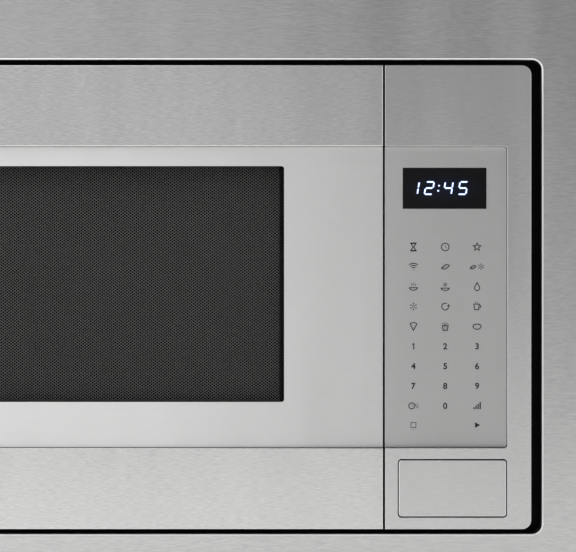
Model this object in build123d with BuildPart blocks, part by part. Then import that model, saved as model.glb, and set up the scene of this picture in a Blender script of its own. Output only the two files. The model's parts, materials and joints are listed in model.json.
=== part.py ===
from build123d import *
import math
import os

# Built-in microwave oven with its trim frame, as separate pieces at real size, in millimetres.
# X runs to the right, Y into the cabinet and Z up. The origin is the centre of the trim's opening
# on the cabinet's face, so what stands in front of the cabinet has a negative Y.

# Front face
door_side = 30.75
fascia_margin = 42
fascia_corner_r = 6.8
fascia_proud = 15
control_w = 109
door_gap = 1.5
band_h = 60.5
mid_recess = 4
skin_t = 1
return_depth = 14
edge_r = 0.7
panel_gap = 0.3

# Window, measured from the edges of the door's middle panel
window_side = 73.8
window_above = 14.5
window_below = 34.1
window_corner_r = 2
glass_t = 3.2
glass_lap = 8
screen_t = 0.6

# Trim frame round the oven
trim_side = 65
trim_above = 61.25
trim_depth = 14
trim_plate_t = 1.5
trim_lip_w = 14
opening_side_gap = 10
opening_top_gap = 5.75
opening_corner_r = 7.7
surround_t = 1.2
surround_flange_w = 24
surround_depth = 18
surround_lip_gap = 0.6
lip_slot_l = 24
lip_slot_h = 2
lip_slot_pitch = 46
lip_slot_count = 12
lip_slot_margin = 1.2
cutout_side_lap = 16
cutout_top_lap = 17.5
bracket_t = 1.5
bracket_h = 220
bracket_reach = 60
bracket_front_w = 21
bracket_gap = 0.5
side_screw_pitch = 160
side_screw_y = 30
wood_screw_r = 2.25

# Oven body
door_depth = 34
door_seal_gap = 1
body_inset = 3
rear_space = 21.8
plate_t = 1.2
sheet_t = 1
flange_w = 12
access_w = 60
access_h = 150
foot_h = 12
foot_r = 14
foot_hole_r = 4.5
foot_chamfer = 1
foot_side = 50
foot_front = 52.8
foot_back = 49

# Vents in the wrap and the back panel
vent_l = 26
vent_w = 4
vent_pitch = 9
vent_rows = 12
exhaust_l = 85
intake_l = 52

# Mounting base between shelf and feet
base_plate_t = 1.5
riser_w = 50
riser_foot_w = 18
riser_t = 1.5
riser_past_foot = 30
mount_margin = 2
mount_back_margin = 10
mount_tab_half_w = 120
mount_tab_h = 16
shelf_screw_side = 100
shelf_screw_end = 10

# Cavity
cavity_w = 434
cavity_h = 262
cavity_d = 440
cavity_rise = 10
cavity_corner_r = 12
cavity_t = 1
cavity_flange_w = 6
lamp_grid_r = 1.5
lamp_grid_pitch = 4.8
lamp_grid_n = 5
air_grid_r = 2
air_grid_pitch = 7
air_grid_columns = 9
air_grid_rows = 5
air_grid_inset = 80

# Turntable
tray_r = 190
tray_t = 5
tray_rim_h = 13
tray_rim_w = 9
tray_lip_t = 3
tray_foot_slope = 2
wheel_r = 9
wheel_w = 9
wheel_chamfer = 0.8
wheel_track_r = 130
wheel_bore_r = 2.05
axle_r = 2
ring_r = 112
ring_w = 7
ring_h = 5
axle_past_wheel = 3
axle_head_r = 3.2
axle_head_t = 2
coupler_hub_r = 8
coupler_arm_w = 7
coupler_arm_reach = 24
coupler_arm_t = 5
coupler_plug_r = 4
coupler_plug_l = 9
coupler_hole_gap = 2
lug_r = 4
lug_h = 3
lug_sunk = 0.5
lug_track_r = 16.8
turntable_motor_r = 27
turntable_motor_h = 16
motor_ear_l = 10
motor_ear_half_w = 6
motor_bottom_t = 2

# Hinge
hinge_inset = 10
hinge_setback = 12
hinge_arm_w = 11
hinge_arm_t = 2.5
hinge_foot_h = 30
hinge_foot_w = 18
hinge_foot_t = 1.5
hinge_screw_near = 9
hinge_screw_far = 22.5
pin_r = 3
pin_l = 9.5
bush_r = 4.5
bush_flange_r = 6
bush_flange_t = 1
ear_t = 2
ear_w = 18
ear_front = 6
notch_gap = 4
notch_front = 1.8

# Door inside
choke_w = 24
choke_t = 1.5
choke_wall_inset = 2
frame_depth = 17.5
film_t = 0.6
film_lap = 14
carrier_wall = 3
rib_t = 3
carrier_hole_gap = 2
pocket_columns = 5
pocket_rows = 3
screen_hole_gap = 3
screen_lap = 3

# Latch
latch_t = 6
hook_pitch = 150
hook_mid_drop = 35
hook_reach = 28.8
hook_h = 8
barb_h = 3
barb_l = 7
tip_slope = 2
latch_lift = 4
latch_edge = 10
latch_edge_gap = 2
hook_swing = 3
post_r = 2
post_reach = 1.5
stop_reach = 1
stop_half_w = 5
stop_t = 2
upper_post_drop = 30
lower_post_rise = 40
latch_spring_r = 3
latch_spring_l = 20
spring_wire_r = 0.4
spring_turns = 8
ledge_t = 3.5
ledge_l = 6
ledge_clear = 0.5
arm_gap = 0.4
switch_w = 11
switch_h = 28
switch_d = 16
terminal_pitch = 16
terminal_half_w = 3
terminal_t = 0.8
terminal_l = 7
plunger_r = 1.5
plunger_travel = 1.5
plunger_seat = 6
switch_gap = 2.2
housing_gap = 0.25
housing_t = 2.5
housing_above = 30
housing_below = 50
housing_edge = 6

# Release button and lever
button_w = 81.8
button_h = 43.7
button_corner_r = 3
button_side = 9.4
button_above = 8.65
button_gap = 0.75
button_depth = 12
button_travel = 5
button_wall = 2
well_wall = 2
well_gap = 2
stem_w = 6
stem_side = 15
stem_drop = 20
stem_hole_gap = 3
lever_setback = 8.8
lever_drop = 12
lever_pin_r = 3
lever_hub_r = 5.5
lever_arm_t = 5
lever_arm_past = 4
lift_reach = 16
lift_tip_r = 2
lift_past_hook = 1
lever_end = 2
pin_past_lever = 2
lever_spring_reach = 14
lever_spring_r = 2.5
lug_drop = 5
lug_half_w = 2
lug_t = 3
lug_past_spring = 3
peg_drop = 28
peg_half_w = 3
peg_t = 2.5

# Control section
insert_side = 17.7
insert_corner_r = 2.2
display_w = 62.6
display_h = 30.7
display_side = 13.4
display_above = 15.75
display_t = 1.5
tub_wall = 2.5
tub_gap = 0.2
gap_strip_t = 1.2
gap_strip_clear = 0.6
gap_strip_side = 2
board_side = 5.3
board_margin = 5
board_t = 1.6
board_back = 15
board_shift = 3
board_post_r = 3
board_post_inset = 5
relay_h = 12
module_edge = 2

# Relays and transformer on the control board: x and z of a corner from its centre, width, height
relay_blocks = [(-20, -70, 16, 20), (5, -70, 16, 20), (-20, -20, 24, 30), (14, 30, 18, 14)]

# Equipment bay
waveguide_d = 100
waveguide_w = 40
waveguide_setback = 192.8
waveguide_margin = 10
waveguide_above = 35
feed_w = 70
feed_h = 40
feed_drop = 106
mica_t = 0.5
mica_margin = 12
antenna_drop = 46
antenna_r = 7.5
antenna_l = 24
antenna_hole_r = 9
magnetron_l = 62
magnetron_w = 94
magnetron_h = 76
anode_r = 18
fin_count = 7
fin_half_h = 28.8
fin_t = 1
fin_start = 14
fin_pitch = 5.5
yoke_t = 2
filter_box_l = 22
antenna_fillet = 2.5
fan_drop = 79
fan_setback = 77
fan_r = 53
fan_hub_r = 12
fan_shaft_r = 3
fan_blades = 7
fan_tip_gap = 4
fan_hub_l = 14
blade_t = 1.6
blade_chord = 22
blade_pitch = 32
blade_root = 2
shroud_depth = 16
shroud_t = 2.5
shroud_side = 4
shroud_below = 14
shroud_front = 2
motor_gap = 10
motor_half_w = 26
motor_half_h = 22
motor_l = 30
motor_nose_r = 9
motor_nose_l = 5
motor_cap_l = 6
motor_leg = 5
motor_strap_t = 3
motor_strap_half_h = 6
lamp_setback = 87.8
lamp_drop = 36
lamp_bracket_l = 44
lamp_half = 17
lamp_cap_r = 9
lamp_cap_l = 12
bulb_r = 11
bulb_l = 28
bulb_neck_r = 6
bulb_neck_l = 8
guide_wall = 2
guide_side = 20
guide_lamp_gap = 3
inverter_h = 19
inverter_setback = 62.8
inverter_l = 230
inverter_side = 12
inverter_wall = 2
inverter_right_gap = 6
inverter_post_r = 4
inverter_post_inset = 10
board_rise = 4
core_side = 10
core_front = 75
core_w = 54
core_d = 66
core_h = 54
core_plate_t = 12
core_leg_inset = 8
winding_r = 19
sink_gap = 11.25
sink_front = 80
sink_w = 34
sink_d = 90
sink_h = 46
sink_base_t = 6
sink_fin_t = 2
sink_fins = 6
cord_inset = 50
cord_r = 4.5
cord_bushing_l = 16
bushing_wall = 2
bushing_flange_w = 2
bushing_flange_t = 2

# Capacitors on the inverter board: x from its middle, y from its front, radius, height
capacitors = [(37.6, 30, 10, 32), (37.6, 56, 10, 32), (-35.6, 30, 14, 40), (0.4, 26, 7, 20)]

# Fits and fasteners
loose = 0.3
running = 0.05
screw_r = 1.9
screw_hole_r = 2
screw_head_r = 4
screw_head_t = 2.4
screw_head_round = 0.8
back_screw_l = 8
back_screw_rise = 36

# Sizes worked out from the sizes above
door_w = cavity_w + 2 * door_side
fascia_w = door_w + door_gap + control_w
fascia_h = cavity_h + 2 * fascia_margin
opening_w = fascia_w + 2 * opening_side_gap
opening_h = fascia_h + 2 * opening_top_gap
trim_w = opening_w + 2 * trim_side
trim_h = opening_h + 2 * trim_above
cutout_w = trim_w - 2 * cutout_side_lap
cutout_h = trim_h - 2 * cutout_top_lap
body_w = fascia_w - 2 * body_inset
body_h = fascia_h - 2 * body_inset

# Places worked out from the sizes above
half_w = fascia_w / 2
half_h = fascia_h / 2
mid_half = half_h - band_h
front_y = -(trim_depth + fascia_proud)
mid_y = front_y + mid_recess
return_y = front_y + return_depth
door_back_y = front_y + door_depth
plate_y = door_back_y + door_seal_gap
bay_y = plate_y + plate_t
cavity_back_y = bay_y + cavity_d
body_back_y = cavity_back_y + rear_space
trim_back_of_plate = -trim_depth + trim_plate_t

door_left = -half_w
door_right = door_left + door_w
door_mid_x = (door_left + door_right) / 2
control_left = half_w - control_w
insert_right = half_w - insert_side
window_left = door_left + window_side
window_right = door_right - window_side
window_top = mid_half - window_above
window_bottom = -mid_half + window_below
window_mid_x = (window_left + window_right) / 2
window_mid_z = (window_top + window_bottom) / 2
window_w = window_right - window_left
window_h = window_top - window_bottom

cavity_x = door_mid_x
cavity_z = cavity_rise
cavity_left = cavity_x - cavity_w / 2
cavity_right = cavity_x + cavity_w / 2
cavity_floor = cavity_z - cavity_h / 2
cavity_top = cavity_z + cavity_h / 2
cavity_wall_x = cavity_right + cavity_t

frame_left = cavity_left - choke_w
frame_right = cavity_right + choke_w
frame_bottom = cavity_floor - choke_w
frame_top = cavity_top + choke_w
frame_y = door_back_y - choke_t - frame_depth
frame_back_y = door_back_y - choke_t

hinge_x = door_left + hinge_inset
hinge_y = front_y + hinge_setback
body_bottom = -body_h / 2
body_top = body_h / 2
body_right = body_w / 2
feet_z = body_bottom - foot_h
foot_x = body_right - foot_side
foot_front_y = bay_y + foot_front
foot_back_y = body_back_y - foot_back
riser_start_y = foot_front_y - riser_past_foot
riser_length = foot_back_y + riser_past_foot - riser_start_y
shelf_z = -cutout_h / 2

housing_x = cavity_right + cavity_flange_w + housing_gap
housing_wall = housing_x + housing_t
latch_x = housing_wall + switch_w / 2
hook_x0 = latch_x - latch_t / 2
hook_x1 = latch_x + latch_t / 2
upper_hook_z = cavity_z - hook_mid_drop + hook_pitch / 2
lower_hook_z = upper_hook_z - hook_pitch
hook_tip_y = bay_y + hook_reach
switch_y0 = hook_tip_y + switch_gap

display_x = control_left + display_side + display_w / 2
display_z = mid_half - display_above - display_h / 2
button_x = control_left + button_side + button_w / 2
button_z = -half_h + button_above + button_h / 2
stem_x = control_left + stem_side
lever_y = bay_y + lever_setback
lever_z = lower_hook_z - lever_drop
stem_z = lever_z - stem_drop
lever_end_x = stem_x + stem_w / 2 + lever_end

waveguide_y = bay_y + waveguide_setback
waveguide_x1 = cavity_wall_x + waveguide_w
feed_z = cavity_top - feed_drop
antenna_z = cavity_top - antenna_drop
fan_x = (cavity_wall_x + body_right) / 2
fan_y = body_back_y - fan_setback
fan_z = cavity_top - fan_drop
lamp_y = bay_y + lamp_setback
lamp_z = cavity_top - lamp_drop
cord_x = body_right - cord_inset
cord_z = body_bottom + cord_inset


def front_plane(y):
    """Plane at depth y that faces the room, with X and Z as its local axes."""
    return Plane.XZ.offset(-y)


def block(x0, x1, y0, y1, z0, z1, mode=Mode.ADD):
    """Box between two corners, in the part being built."""
    with Locations(((x0 + x1) / 2, (y0 + y1) / 2, (z0 + z1) / 2)):
        Box(x1 - x0, y1 - y0, z1 - z0, mode=mode)


def rounded_slab(x, z, width, height, radius, y0, y1, mode=Mode.ADD):
    """Rounded rectangle centred at x, z that runs from depth y0 to depth y1."""
    with BuildSketch(front_plane(y0)) as slab:
        with Locations((x, z)):
            RectangleRounded(width, height, radius)
    extrude(slab.sketch, amount=y0 - y1, mode=mode)


def rod_x(x0, x1, y, z, radius, mode=Mode.ADD):
    """Cylinder along X."""
    with Locations(((x0 + x1) / 2, y, z)):
        Cylinder(radius, x1 - x0, rotation=(0, 90, 0), mode=mode)


def rod_y(x, y0, y1, z, radius, mode=Mode.ADD):
    """Cylinder along Y."""
    with Locations((x, (y0 + y1) / 2, z)):
        Cylinder(radius, y1 - y0, rotation=(90, 0, 0), mode=mode)


def rod_z(x, y, z0, z1, radius, mode=Mode.ADD):
    """Cylinder along Z."""
    with Locations((x, y, (z0 + z1) / 2)):
        Cylinder(radius, z1 - z0, mode=mode)


def save(part, label):
    """Label a finished piece and write it."""
    part.label = label
    export_step(part, f"parts/{label}.step")


os.makedirs("parts", exist_ok=True)

# Trim frame: a folded plate whose outer walls turn in to lips on the cabinet's face
with BuildPart() as trim_frame:
    with BuildSketch(front_plane(-trim_depth)):
        Rectangle(trim_w, trim_h)
        RectangleRounded(opening_w, opening_h, opening_corner_r, mode=Mode.SUBTRACT)
    extrude(amount=-trim_depth)
    with BuildSketch(front_plane(trim_back_of_plate)):
        Rectangle(trim_w - 2 * trim_plate_t, trim_h - 2 * trim_plate_t)
    extrude(amount=-(trim_depth - 2 * trim_plate_t), mode=Mode.SUBTRACT)
    with BuildSketch(front_plane(-trim_plate_t)):
        Rectangle(trim_w - 2 * trim_lip_w, trim_h - 2 * trim_lip_w)
    extrude(amount=-trim_plate_t, mode=Mode.SUBTRACT)
    fillet(trim_frame.faces().sort_by(Axis.Y)[0].edges(), radius=edge_r)
save(trim_frame.part, "trim_frame")

# Black sheet-metal surround that lines the trim's opening, with a lip that closes the gap at the back
surround_y = trim_back_of_plate
surround_back_y = -trim_depth + surround_depth
surround_lip_y = surround_back_y - surround_t
lip_slot_z = half_h + lip_slot_margin + lip_slot_h / 2
with BuildPart() as trim_surround:
    with BuildSketch(front_plane(surround_y)):
        RectangleRounded(
            opening_w + 2 * surround_flange_w,
            opening_h + 2 * surround_flange_w,
            opening_corner_r + surround_flange_w / 2,
        )
    extrude(amount=-surround_t)
    rounded_slab(
        0,
        0,
        opening_w + 2 * surround_t,
        opening_h + 2 * surround_t,
        opening_corner_r + surround_t,
        surround_y,
        surround_back_y,
    )
    rounded_slab(
        0,
        0,
        opening_w,
        opening_h,
        opening_corner_r,
        surround_y,
        surround_lip_y,
        mode=Mode.SUBTRACT,
    )
    # Vent slots in the lip, above and below the oven's front
    with BuildSketch(front_plane(surround_lip_y)):
        with GridLocations(lip_slot_pitch, 2 * lip_slot_z, lip_slot_count, 2):
            SlotOverall(lip_slot_l, lip_slot_h)
    extrude(amount=-surround_t, mode=Mode.SUBTRACT)
    block(
        -half_w + skin_t - surround_lip_gap,
        half_w - skin_t + surround_lip_gap,
        surround_lip_y,
        surround_back_y,
        -half_h + skin_t - surround_lip_gap,
        half_h - skin_t + surround_lip_gap,
        mode=Mode.SUBTRACT,
    )
save(trim_surround.part, "trim_surround")

# Angle brackets that tie the trim frame to the cabinet's side walls
bracket_x = cutout_w / 2 - bracket_gap
with BuildPart() as trim_brackets:
    block(
        bracket_x - bracket_front_w,
        bracket_x,
        surround_y,
        surround_y + bracket_t,
        -bracket_h / 2,
        bracket_h / 2,
    )
    block(
        bracket_x - bracket_t,
        bracket_x,
        surround_y,
        bracket_reach,
        -bracket_h / 2,
        bracket_h / 2,
    )
    for z in (-side_screw_pitch / 2, side_screw_pitch / 2):
        rod_x(
            bracket_x - 2 * bracket_t,
            bracket_x + bracket_t,
            side_screw_y,
            z,
            wood_screw_r,
            mode=Mode.SUBTRACT,
        )
    mirror(about=Plane.YZ)
save(trim_brackets.part, "trim_brackets")

# Mounting base: plate on the shelf, tied to the trim by a tab
mount_half_w = foot_x + riser_w / 2 + riser_foot_w + mount_margin
mount_back_y = riser_start_y + riser_length + mount_back_margin
shelf_screw_pitch_x = 2 * (foot_x - shelf_screw_side)
shelf_screw_pitch_y = riser_length - 2 * shelf_screw_end
with BuildPart() as mounting_base:
    block(-mount_half_w, mount_half_w, surround_y, mount_back_y, shelf_z, shelf_z + base_plate_t)
    block(
        -mount_tab_half_w,
        mount_tab_half_w,
        surround_y,
        surround_y + base_plate_t,
        shelf_z,
        shelf_z + mount_tab_h,
    )
    block(
        -mount_half_w,
        mount_half_w,
        mount_back_y - base_plate_t,
        mount_back_y,
        shelf_z,
        shelf_z + mount_tab_h,
    )
    with Locations((0, riser_start_y + riser_length / 2, shelf_z)):
        with GridLocations(shelf_screw_pitch_x, shelf_screw_pitch_y, 2, 2):
            Cylinder(wood_screw_r, 4 * base_plate_t, mode=Mode.SUBTRACT)
save(mounting_base.part, "mounting_base")

# Two hat-shaped risers that carry the feet
riser_bottom = shelf_z + base_plate_t
with BuildPart() as risers:
    for x in (-foot_x, foot_x):
        with BuildSketch(front_plane(riser_start_y)):
            with BuildLine():
                Polyline(
                    (x - riser_w / 2 - riser_foot_w, riser_bottom),
                    (x - riser_w / 2 + riser_t, riser_bottom),
                    (x - riser_w / 2 + riser_t, feet_z - riser_t),
                    (x + riser_w / 2 - riser_t, feet_z - riser_t),
                    (x + riser_w / 2 - riser_t, riser_bottom),
                    (x + riser_w / 2 + riser_foot_w, riser_bottom),
                    (x + riser_w / 2 + riser_foot_w, riser_bottom + riser_t),
                    (x + riser_w / 2, riser_bottom + riser_t),
                    (x + riser_w / 2, feet_z),
                    (x - riser_w / 2, feet_z),
                    (x - riser_w / 2, riser_bottom + riser_t),
                    (x - riser_w / 2 - riser_foot_w, riser_bottom + riser_t),
                    close=True,
                )
            make_face()
        extrude(amount=-riser_length)
save(risers.part, "risers")

# Rubber feet under the oven's base
with BuildPart() as feet:
    for x in (-foot_x, foot_x):
        for y in (foot_front_y, foot_back_y):
            with Locations((x, y, feet_z + foot_h / 2)):
                Cylinder(foot_r, foot_h)
                Cylinder(foot_hole_r, foot_h, mode=Mode.SUBTRACT)
    chamfer(feet.faces().group_by(Axis.Z)[0].edges().filter_by(GeomType.CIRCLE), length=foot_chamfer)
save(feet.part, "feet")

# Base plate with side and back flanges
with BuildPart() as base_plate:
    block(
        -body_right + sheet_t,
        body_right - sheet_t,
        bay_y,
        body_back_y - sheet_t,
        body_bottom,
        body_bottom + sheet_t,
    )
    for side in (-1, 1):
        inner = side * (body_right - 2 * sheet_t)
        outer = side * (body_right - sheet_t)
        block(
            min(inner, outer),
            max(inner, outer),
            bay_y,
            body_back_y - sheet_t,
            body_bottom,
            body_bottom + flange_w,
        )
    block(
        -body_right + sheet_t,
        body_right - sheet_t,
        body_back_y - 2 * sheet_t,
        body_back_y - sheet_t,
        body_bottom,
        body_bottom + flange_w,
    )
    with Locations((cavity_x, bay_y + cavity_d / 2, body_bottom)):
        with GridLocations(2 * turntable_motor_r + flange_w, 2 * turntable_motor_r + flange_w, 2, 2):
            Cylinder(screw_hole_r, 4 * sheet_t, mode=Mode.SUBTRACT)
save(base_plate.part, "base_plate")

# Outer wrap: top and both sides from one sheet, with vents and a back flange
back_screw_inset = flange_w / 2
back_screw_x = body_right - back_screw_inset
back_screw_places = [
    (-back_screw_x, 0),
    (back_screw_x, 0),
    (-back_screw_x, body_top - back_screw_inset),
    (back_screw_x, body_top - back_screw_inset),
    (-back_screw_x, body_bottom + back_screw_rise),
    (back_screw_x, body_bottom + back_screw_rise),
]
with BuildPart() as outer_wrap:
    block(-body_right, body_right, bay_y, body_back_y - sheet_t, body_bottom, body_top)
    block(
        -body_right + sheet_t,
        body_right - sheet_t,
        bay_y,
        body_back_y - 2 * sheet_t,
        body_bottom,
        body_top - sheet_t,
        mode=Mode.SUBTRACT,
    )
    block(
        -body_right + flange_w,
        body_right - flange_w,
        body_back_y - 2 * sheet_t,
        body_back_y,
        body_bottom,
        body_top - flange_w,
        mode=Mode.SUBTRACT,
    )
    block(
        -body_right + sheet_t,
        body_right - sheet_t,
        body_back_y - 2 * sheet_t,
        body_back_y,
        body_bottom,
        body_bottom + flange_w,
        mode=Mode.SUBTRACT,
    )
    for vent_y in (bay_y + 2 * vent_l, body_back_y - 2 * vent_l):
        with BuildSketch(Plane.YZ):
            with Locations((vent_y, 0)):
                with GridLocations(0, vent_pitch, 1, vent_rows):
                    SlotOverall(vent_l, vent_w)
        extrude(amount=body_w, both=True, mode=Mode.SUBTRACT)
    for x, z in back_screw_places:
        rod_y(x, body_back_y - 3 * sheet_t, body_back_y, z, screw_hole_r, mode=Mode.SUBTRACT)
    fillet(outer_wrap.edges().filter_by(Axis.Y).group_by(Axis.Z)[-1], radius=edge_r)
save(outer_wrap.part, "outer_wrap")

# Back panel with its exhaust slots, screw holes and cord hole
with BuildPart() as back_panel:
    block(-body_right, body_right, body_back_y - sheet_t, body_back_y, body_bottom, body_top)
    with BuildSketch(front_plane(body_back_y)):
        with Locations((fan_x, fan_z)):
            with GridLocations(0, vent_pitch, 1, vent_rows):
                SlotOverall(exhaust_l, vent_w)
        with Locations((cavity_left + intake_l, fan_z)):
            with GridLocations(0, vent_pitch, 1, vent_rows):
                SlotOverall(intake_l, vent_w)
    extrude(amount=3 * sheet_t, mode=Mode.SUBTRACT)
    for x, z in back_screw_places:
        rod_y(x, body_back_y - 2 * sheet_t, body_back_y + sheet_t, z, screw_hole_r, mode=Mode.SUBTRACT)
    rod_y(
        cord_x,
        body_back_y - 2 * sheet_t,
        body_back_y + sheet_t,
        cord_z,
        cord_r + bushing_wall + running,
        mode=Mode.SUBTRACT,
    )
save(back_panel.part, "back_panel")

# Snap-in bushing for the supply cord
with BuildPart() as cord_bushing:
    bushing_y0 = body_back_y - cord_bushing_l / 2
    bushing_y1 = body_back_y + cord_bushing_l / 2
    rod_y(cord_x, bushing_y0, bushing_y1, cord_z, cord_r + bushing_wall)
    rod_y(
        cord_x,
        body_back_y,
        body_back_y + bushing_flange_t,
        cord_z,
        cord_r + bushing_wall + bushing_flange_w,
    )
    rod_y(cord_x, bushing_y0, bushing_y1, cord_z, cord_r, mode=Mode.SUBTRACT)
save(cord_bushing.part, "cord_bushing")

# Front plate: the flat face the door seals against
button_hole_w = stem_w + 2 * stem_hole_gap
latch_slot_x0 = hook_x0 - 2 * loose
latch_slot_x1 = hook_x1 + hook_swing + 2 * loose
upper_arm_z0 = frame_top + bush_flange_t + loose
upper_arm_z1 = upper_arm_z0 + hinge_arm_t
lower_arm_z1 = frame_bottom - bush_flange_t - loose
lower_arm_z0 = lower_arm_z1 - hinge_arm_t
hinge_foot_x1 = hinge_x - hinge_arm_w / 2 + hinge_foot_w
hinge_screw_x = hinge_foot_x1 - hinge_foot_w / 2
hinge_screw_zs = [
    upper_arm_z0 - hinge_screw_near,
    upper_arm_z0 - hinge_screw_far,
    lower_arm_z1 + hinge_screw_near,
    lower_arm_z1 + hinge_screw_far,
]
with BuildPart() as front_plate:
    block(-body_right, body_right, plate_y, bay_y, body_bottom, body_top)
    rounded_slab(
        cavity_x,
        cavity_z,
        cavity_w,
        cavity_h,
        cavity_corner_r,
        plate_y,
        bay_y,
        mode=Mode.SUBTRACT,
    )
    for hook_z in (upper_hook_z, lower_hook_z):
        block(
            latch_slot_x0,
            latch_slot_x1,
            plate_y,
            bay_y,
            hook_z - barb_h - 2 * loose,
            hook_z + hook_h + latch_lift + 2 * loose,
            mode=Mode.SUBTRACT,
        )
    for arm_z0, arm_z1 in ((upper_arm_z0, upper_arm_z1), (lower_arm_z0, lower_arm_z1)):
        block(
            hinge_x - hinge_arm_w / 2 - loose,
            hinge_x + hinge_arm_w / 2 + loose,
            plate_y,
            bay_y,
            arm_z0 - loose,
            arm_z1 + loose,
            mode=Mode.SUBTRACT,
        )
    for z in hinge_screw_zs:
        rod_y(hinge_screw_x, plate_y, bay_y, z, screw_hole_r, mode=Mode.SUBTRACT)
    block(
        stem_x - button_hole_w / 2,
        stem_x + button_hole_w / 2,
        plate_y,
        bay_y,
        lever_z - stem_drop - button_hole_w / 2,
        lever_z - stem_drop + button_hole_w / 2,
        mode=Mode.SUBTRACT,
    )
    rounded_slab(
        (control_left + half_w) / 2,
        0,
        access_w,
        access_h,
        cavity_corner_r,
        plate_y,
        bay_y,
        mode=Mode.SUBTRACT,
    )
save(front_plate.part, "front_plate")

# Cavity: an open steel box with its lamp window, microwave feed, vents and coupler hole
tray_x = cavity_x
tray_y = bay_y + cavity_d / 2
coupler_hole_r = coupler_hub_r + coupler_hole_gap
with BuildPart() as cavity:
    rounded_slab(
        cavity_x,
        cavity_z,
        cavity_w + 2 * cavity_t,
        cavity_h + 2 * cavity_t,
        cavity_corner_r + cavity_t,
        bay_y,
        cavity_back_y + cavity_t,
    )
    rounded_slab(
        cavity_x,
        cavity_z,
        cavity_w + 2 * cavity_flange_w,
        cavity_h + 2 * cavity_flange_w,
        cavity_corner_r + cavity_flange_w,
        bay_y,
        bay_y + cavity_t,
    )
    rounded_slab(
        cavity_x,
        cavity_z,
        cavity_w,
        cavity_h,
        cavity_corner_r,
        bay_y,
        cavity_back_y,
        mode=Mode.SUBTRACT,
    )
    block(
        cavity_right - cavity_t,
        cavity_wall_x + cavity_t,
        waveguide_y - feed_w / 2,
        waveguide_y + feed_w / 2,
        feed_z - feed_h / 2,
        feed_z + feed_h / 2,
        mode=Mode.SUBTRACT,
    )
    with BuildSketch(Plane.YZ.offset(cavity_right - cavity_t)):
        with Locations((lamp_y, lamp_z)):
            with HexLocations(lamp_grid_pitch / 2, lamp_grid_n, lamp_grid_n):
                Circle(lamp_grid_r)
    extrude(amount=3 * cavity_t, mode=Mode.SUBTRACT)
    with BuildSketch(Plane.YZ.offset(cavity_left + cavity_t)):
        with Locations((cavity_back_y - air_grid_inset, lamp_z)):
            with GridLocations(air_grid_pitch, air_grid_pitch, air_grid_columns, air_grid_rows):
                Circle(air_grid_r)
    extrude(amount=-3 * cavity_t, mode=Mode.SUBTRACT)
    rod_z(
        tray_x,
        tray_y,
        cavity_floor - 2 * cavity_t,
        cavity_floor + cavity_t,
        coupler_hole_r,
        mode=Mode.SUBTRACT,
    )
save(cavity.part, "cavity")

# Microwave feed: waveguide outside the cavity and mica sheet inside it
waveguide_bottom = feed_z - feed_h / 2 - waveguide_margin
waveguide_top = antenna_z + waveguide_above
with BuildPart() as waveguide:
    block(
        cavity_wall_x,
        waveguide_x1,
        waveguide_y - waveguide_d / 2,
        waveguide_y + waveguide_d / 2,
        waveguide_bottom,
        waveguide_top,
    )
    block(
        cavity_wall_x,
        waveguide_x1 - sheet_t,
        waveguide_y - waveguide_d / 2 + sheet_t,
        waveguide_y + waveguide_d / 2 - sheet_t,
        waveguide_bottom + sheet_t,
        waveguide_top - sheet_t,
        mode=Mode.SUBTRACT,
    )
    rod_x(
        waveguide_x1 - 2 * sheet_t,
        waveguide_x1 + sheet_t,
        waveguide_y,
        antenna_z,
        antenna_hole_r,
        mode=Mode.SUBTRACT,
    )
save(waveguide.part, "waveguide")

with BuildPart() as waveguide_cover:
    block(
        cavity_right - mica_t,
        cavity_right,
        waveguide_y - feed_w / 2 - mica_margin,
        waveguide_y + feed_w / 2 + mica_margin,
        feed_z - feed_h / 2 - mica_margin,
        feed_z + feed_h / 2 + mica_margin,
    )
save(waveguide_cover.part, "waveguide_cover")

# Magnetron: yoke, anode with cooling fins, terminal box and antenna
magnetron_x1 = waveguide_x1 + magnetron_l
with BuildPart() as magnetron:
    for x0 in (waveguide_x1, magnetron_x1 - yoke_t):
        block(
            x0,
            x0 + yoke_t,
            waveguide_y - magnetron_w / 2,
            waveguide_y + magnetron_w / 2,
            antenna_z - magnetron_h / 2,
            antenna_z + magnetron_h / 2,
        )
    for y0 in (waveguide_y - magnetron_w / 2, waveguide_y + magnetron_w / 2 - yoke_t):
        block(waveguide_x1, magnetron_x1, y0, y0 + yoke_t, antenna_z - anode_r, antenna_z + anode_r)
    rod_x(waveguide_x1, magnetron_x1, waveguide_y, antenna_z, anode_r)
    for index in range(fin_count):
        fin_x = waveguide_x1 + fin_start + index * fin_pitch
        block(
            fin_x,
            fin_x + fin_t,
            waveguide_y - magnetron_w / 2,
            waveguide_y + magnetron_w / 2,
            antenna_z - fin_half_h,
            antenna_z + fin_half_h,
        )
    block(
        magnetron_x1,
        magnetron_x1 + filter_box_l,
        waveguide_y - anode_r,
        waveguide_y + anode_r,
        antenna_z - anode_r,
        antenna_z + anode_r,
    )
    rod_x(waveguide_x1 - antenna_l, waveguide_x1, waveguide_y, antenna_z, antenna_r)
    fillet(magnetron.faces().sort_by(Axis.X)[0].edges(), radius=antenna_fillet)
save(magnetron.part, "magnetron")

# Lamp: socket on a bracket outside the lamp window, and its bulb
bulb_end = cavity_wall_x + lamp_bracket_l - lamp_cap_l
with BuildPart() as lamp_socket:
    block(
        cavity_wall_x,
        cavity_wall_x + lamp_bracket_l,
        lamp_y - lamp_half,
        lamp_y - lamp_half + sheet_t,
        lamp_z - lamp_half,
        lamp_z + lamp_half,
    )
    block(
        cavity_wall_x + lamp_bracket_l - sheet_t,
        cavity_wall_x + lamp_bracket_l,
        lamp_y - lamp_half,
        lamp_y + lamp_half,
        lamp_z - lamp_half,
        lamp_z + lamp_half,
    )
    rod_x(bulb_end, bulb_end + 2 * lamp_cap_l, lamp_y, lamp_z, lamp_cap_r)
save(lamp_socket.part, "lamp_socket")

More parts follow.
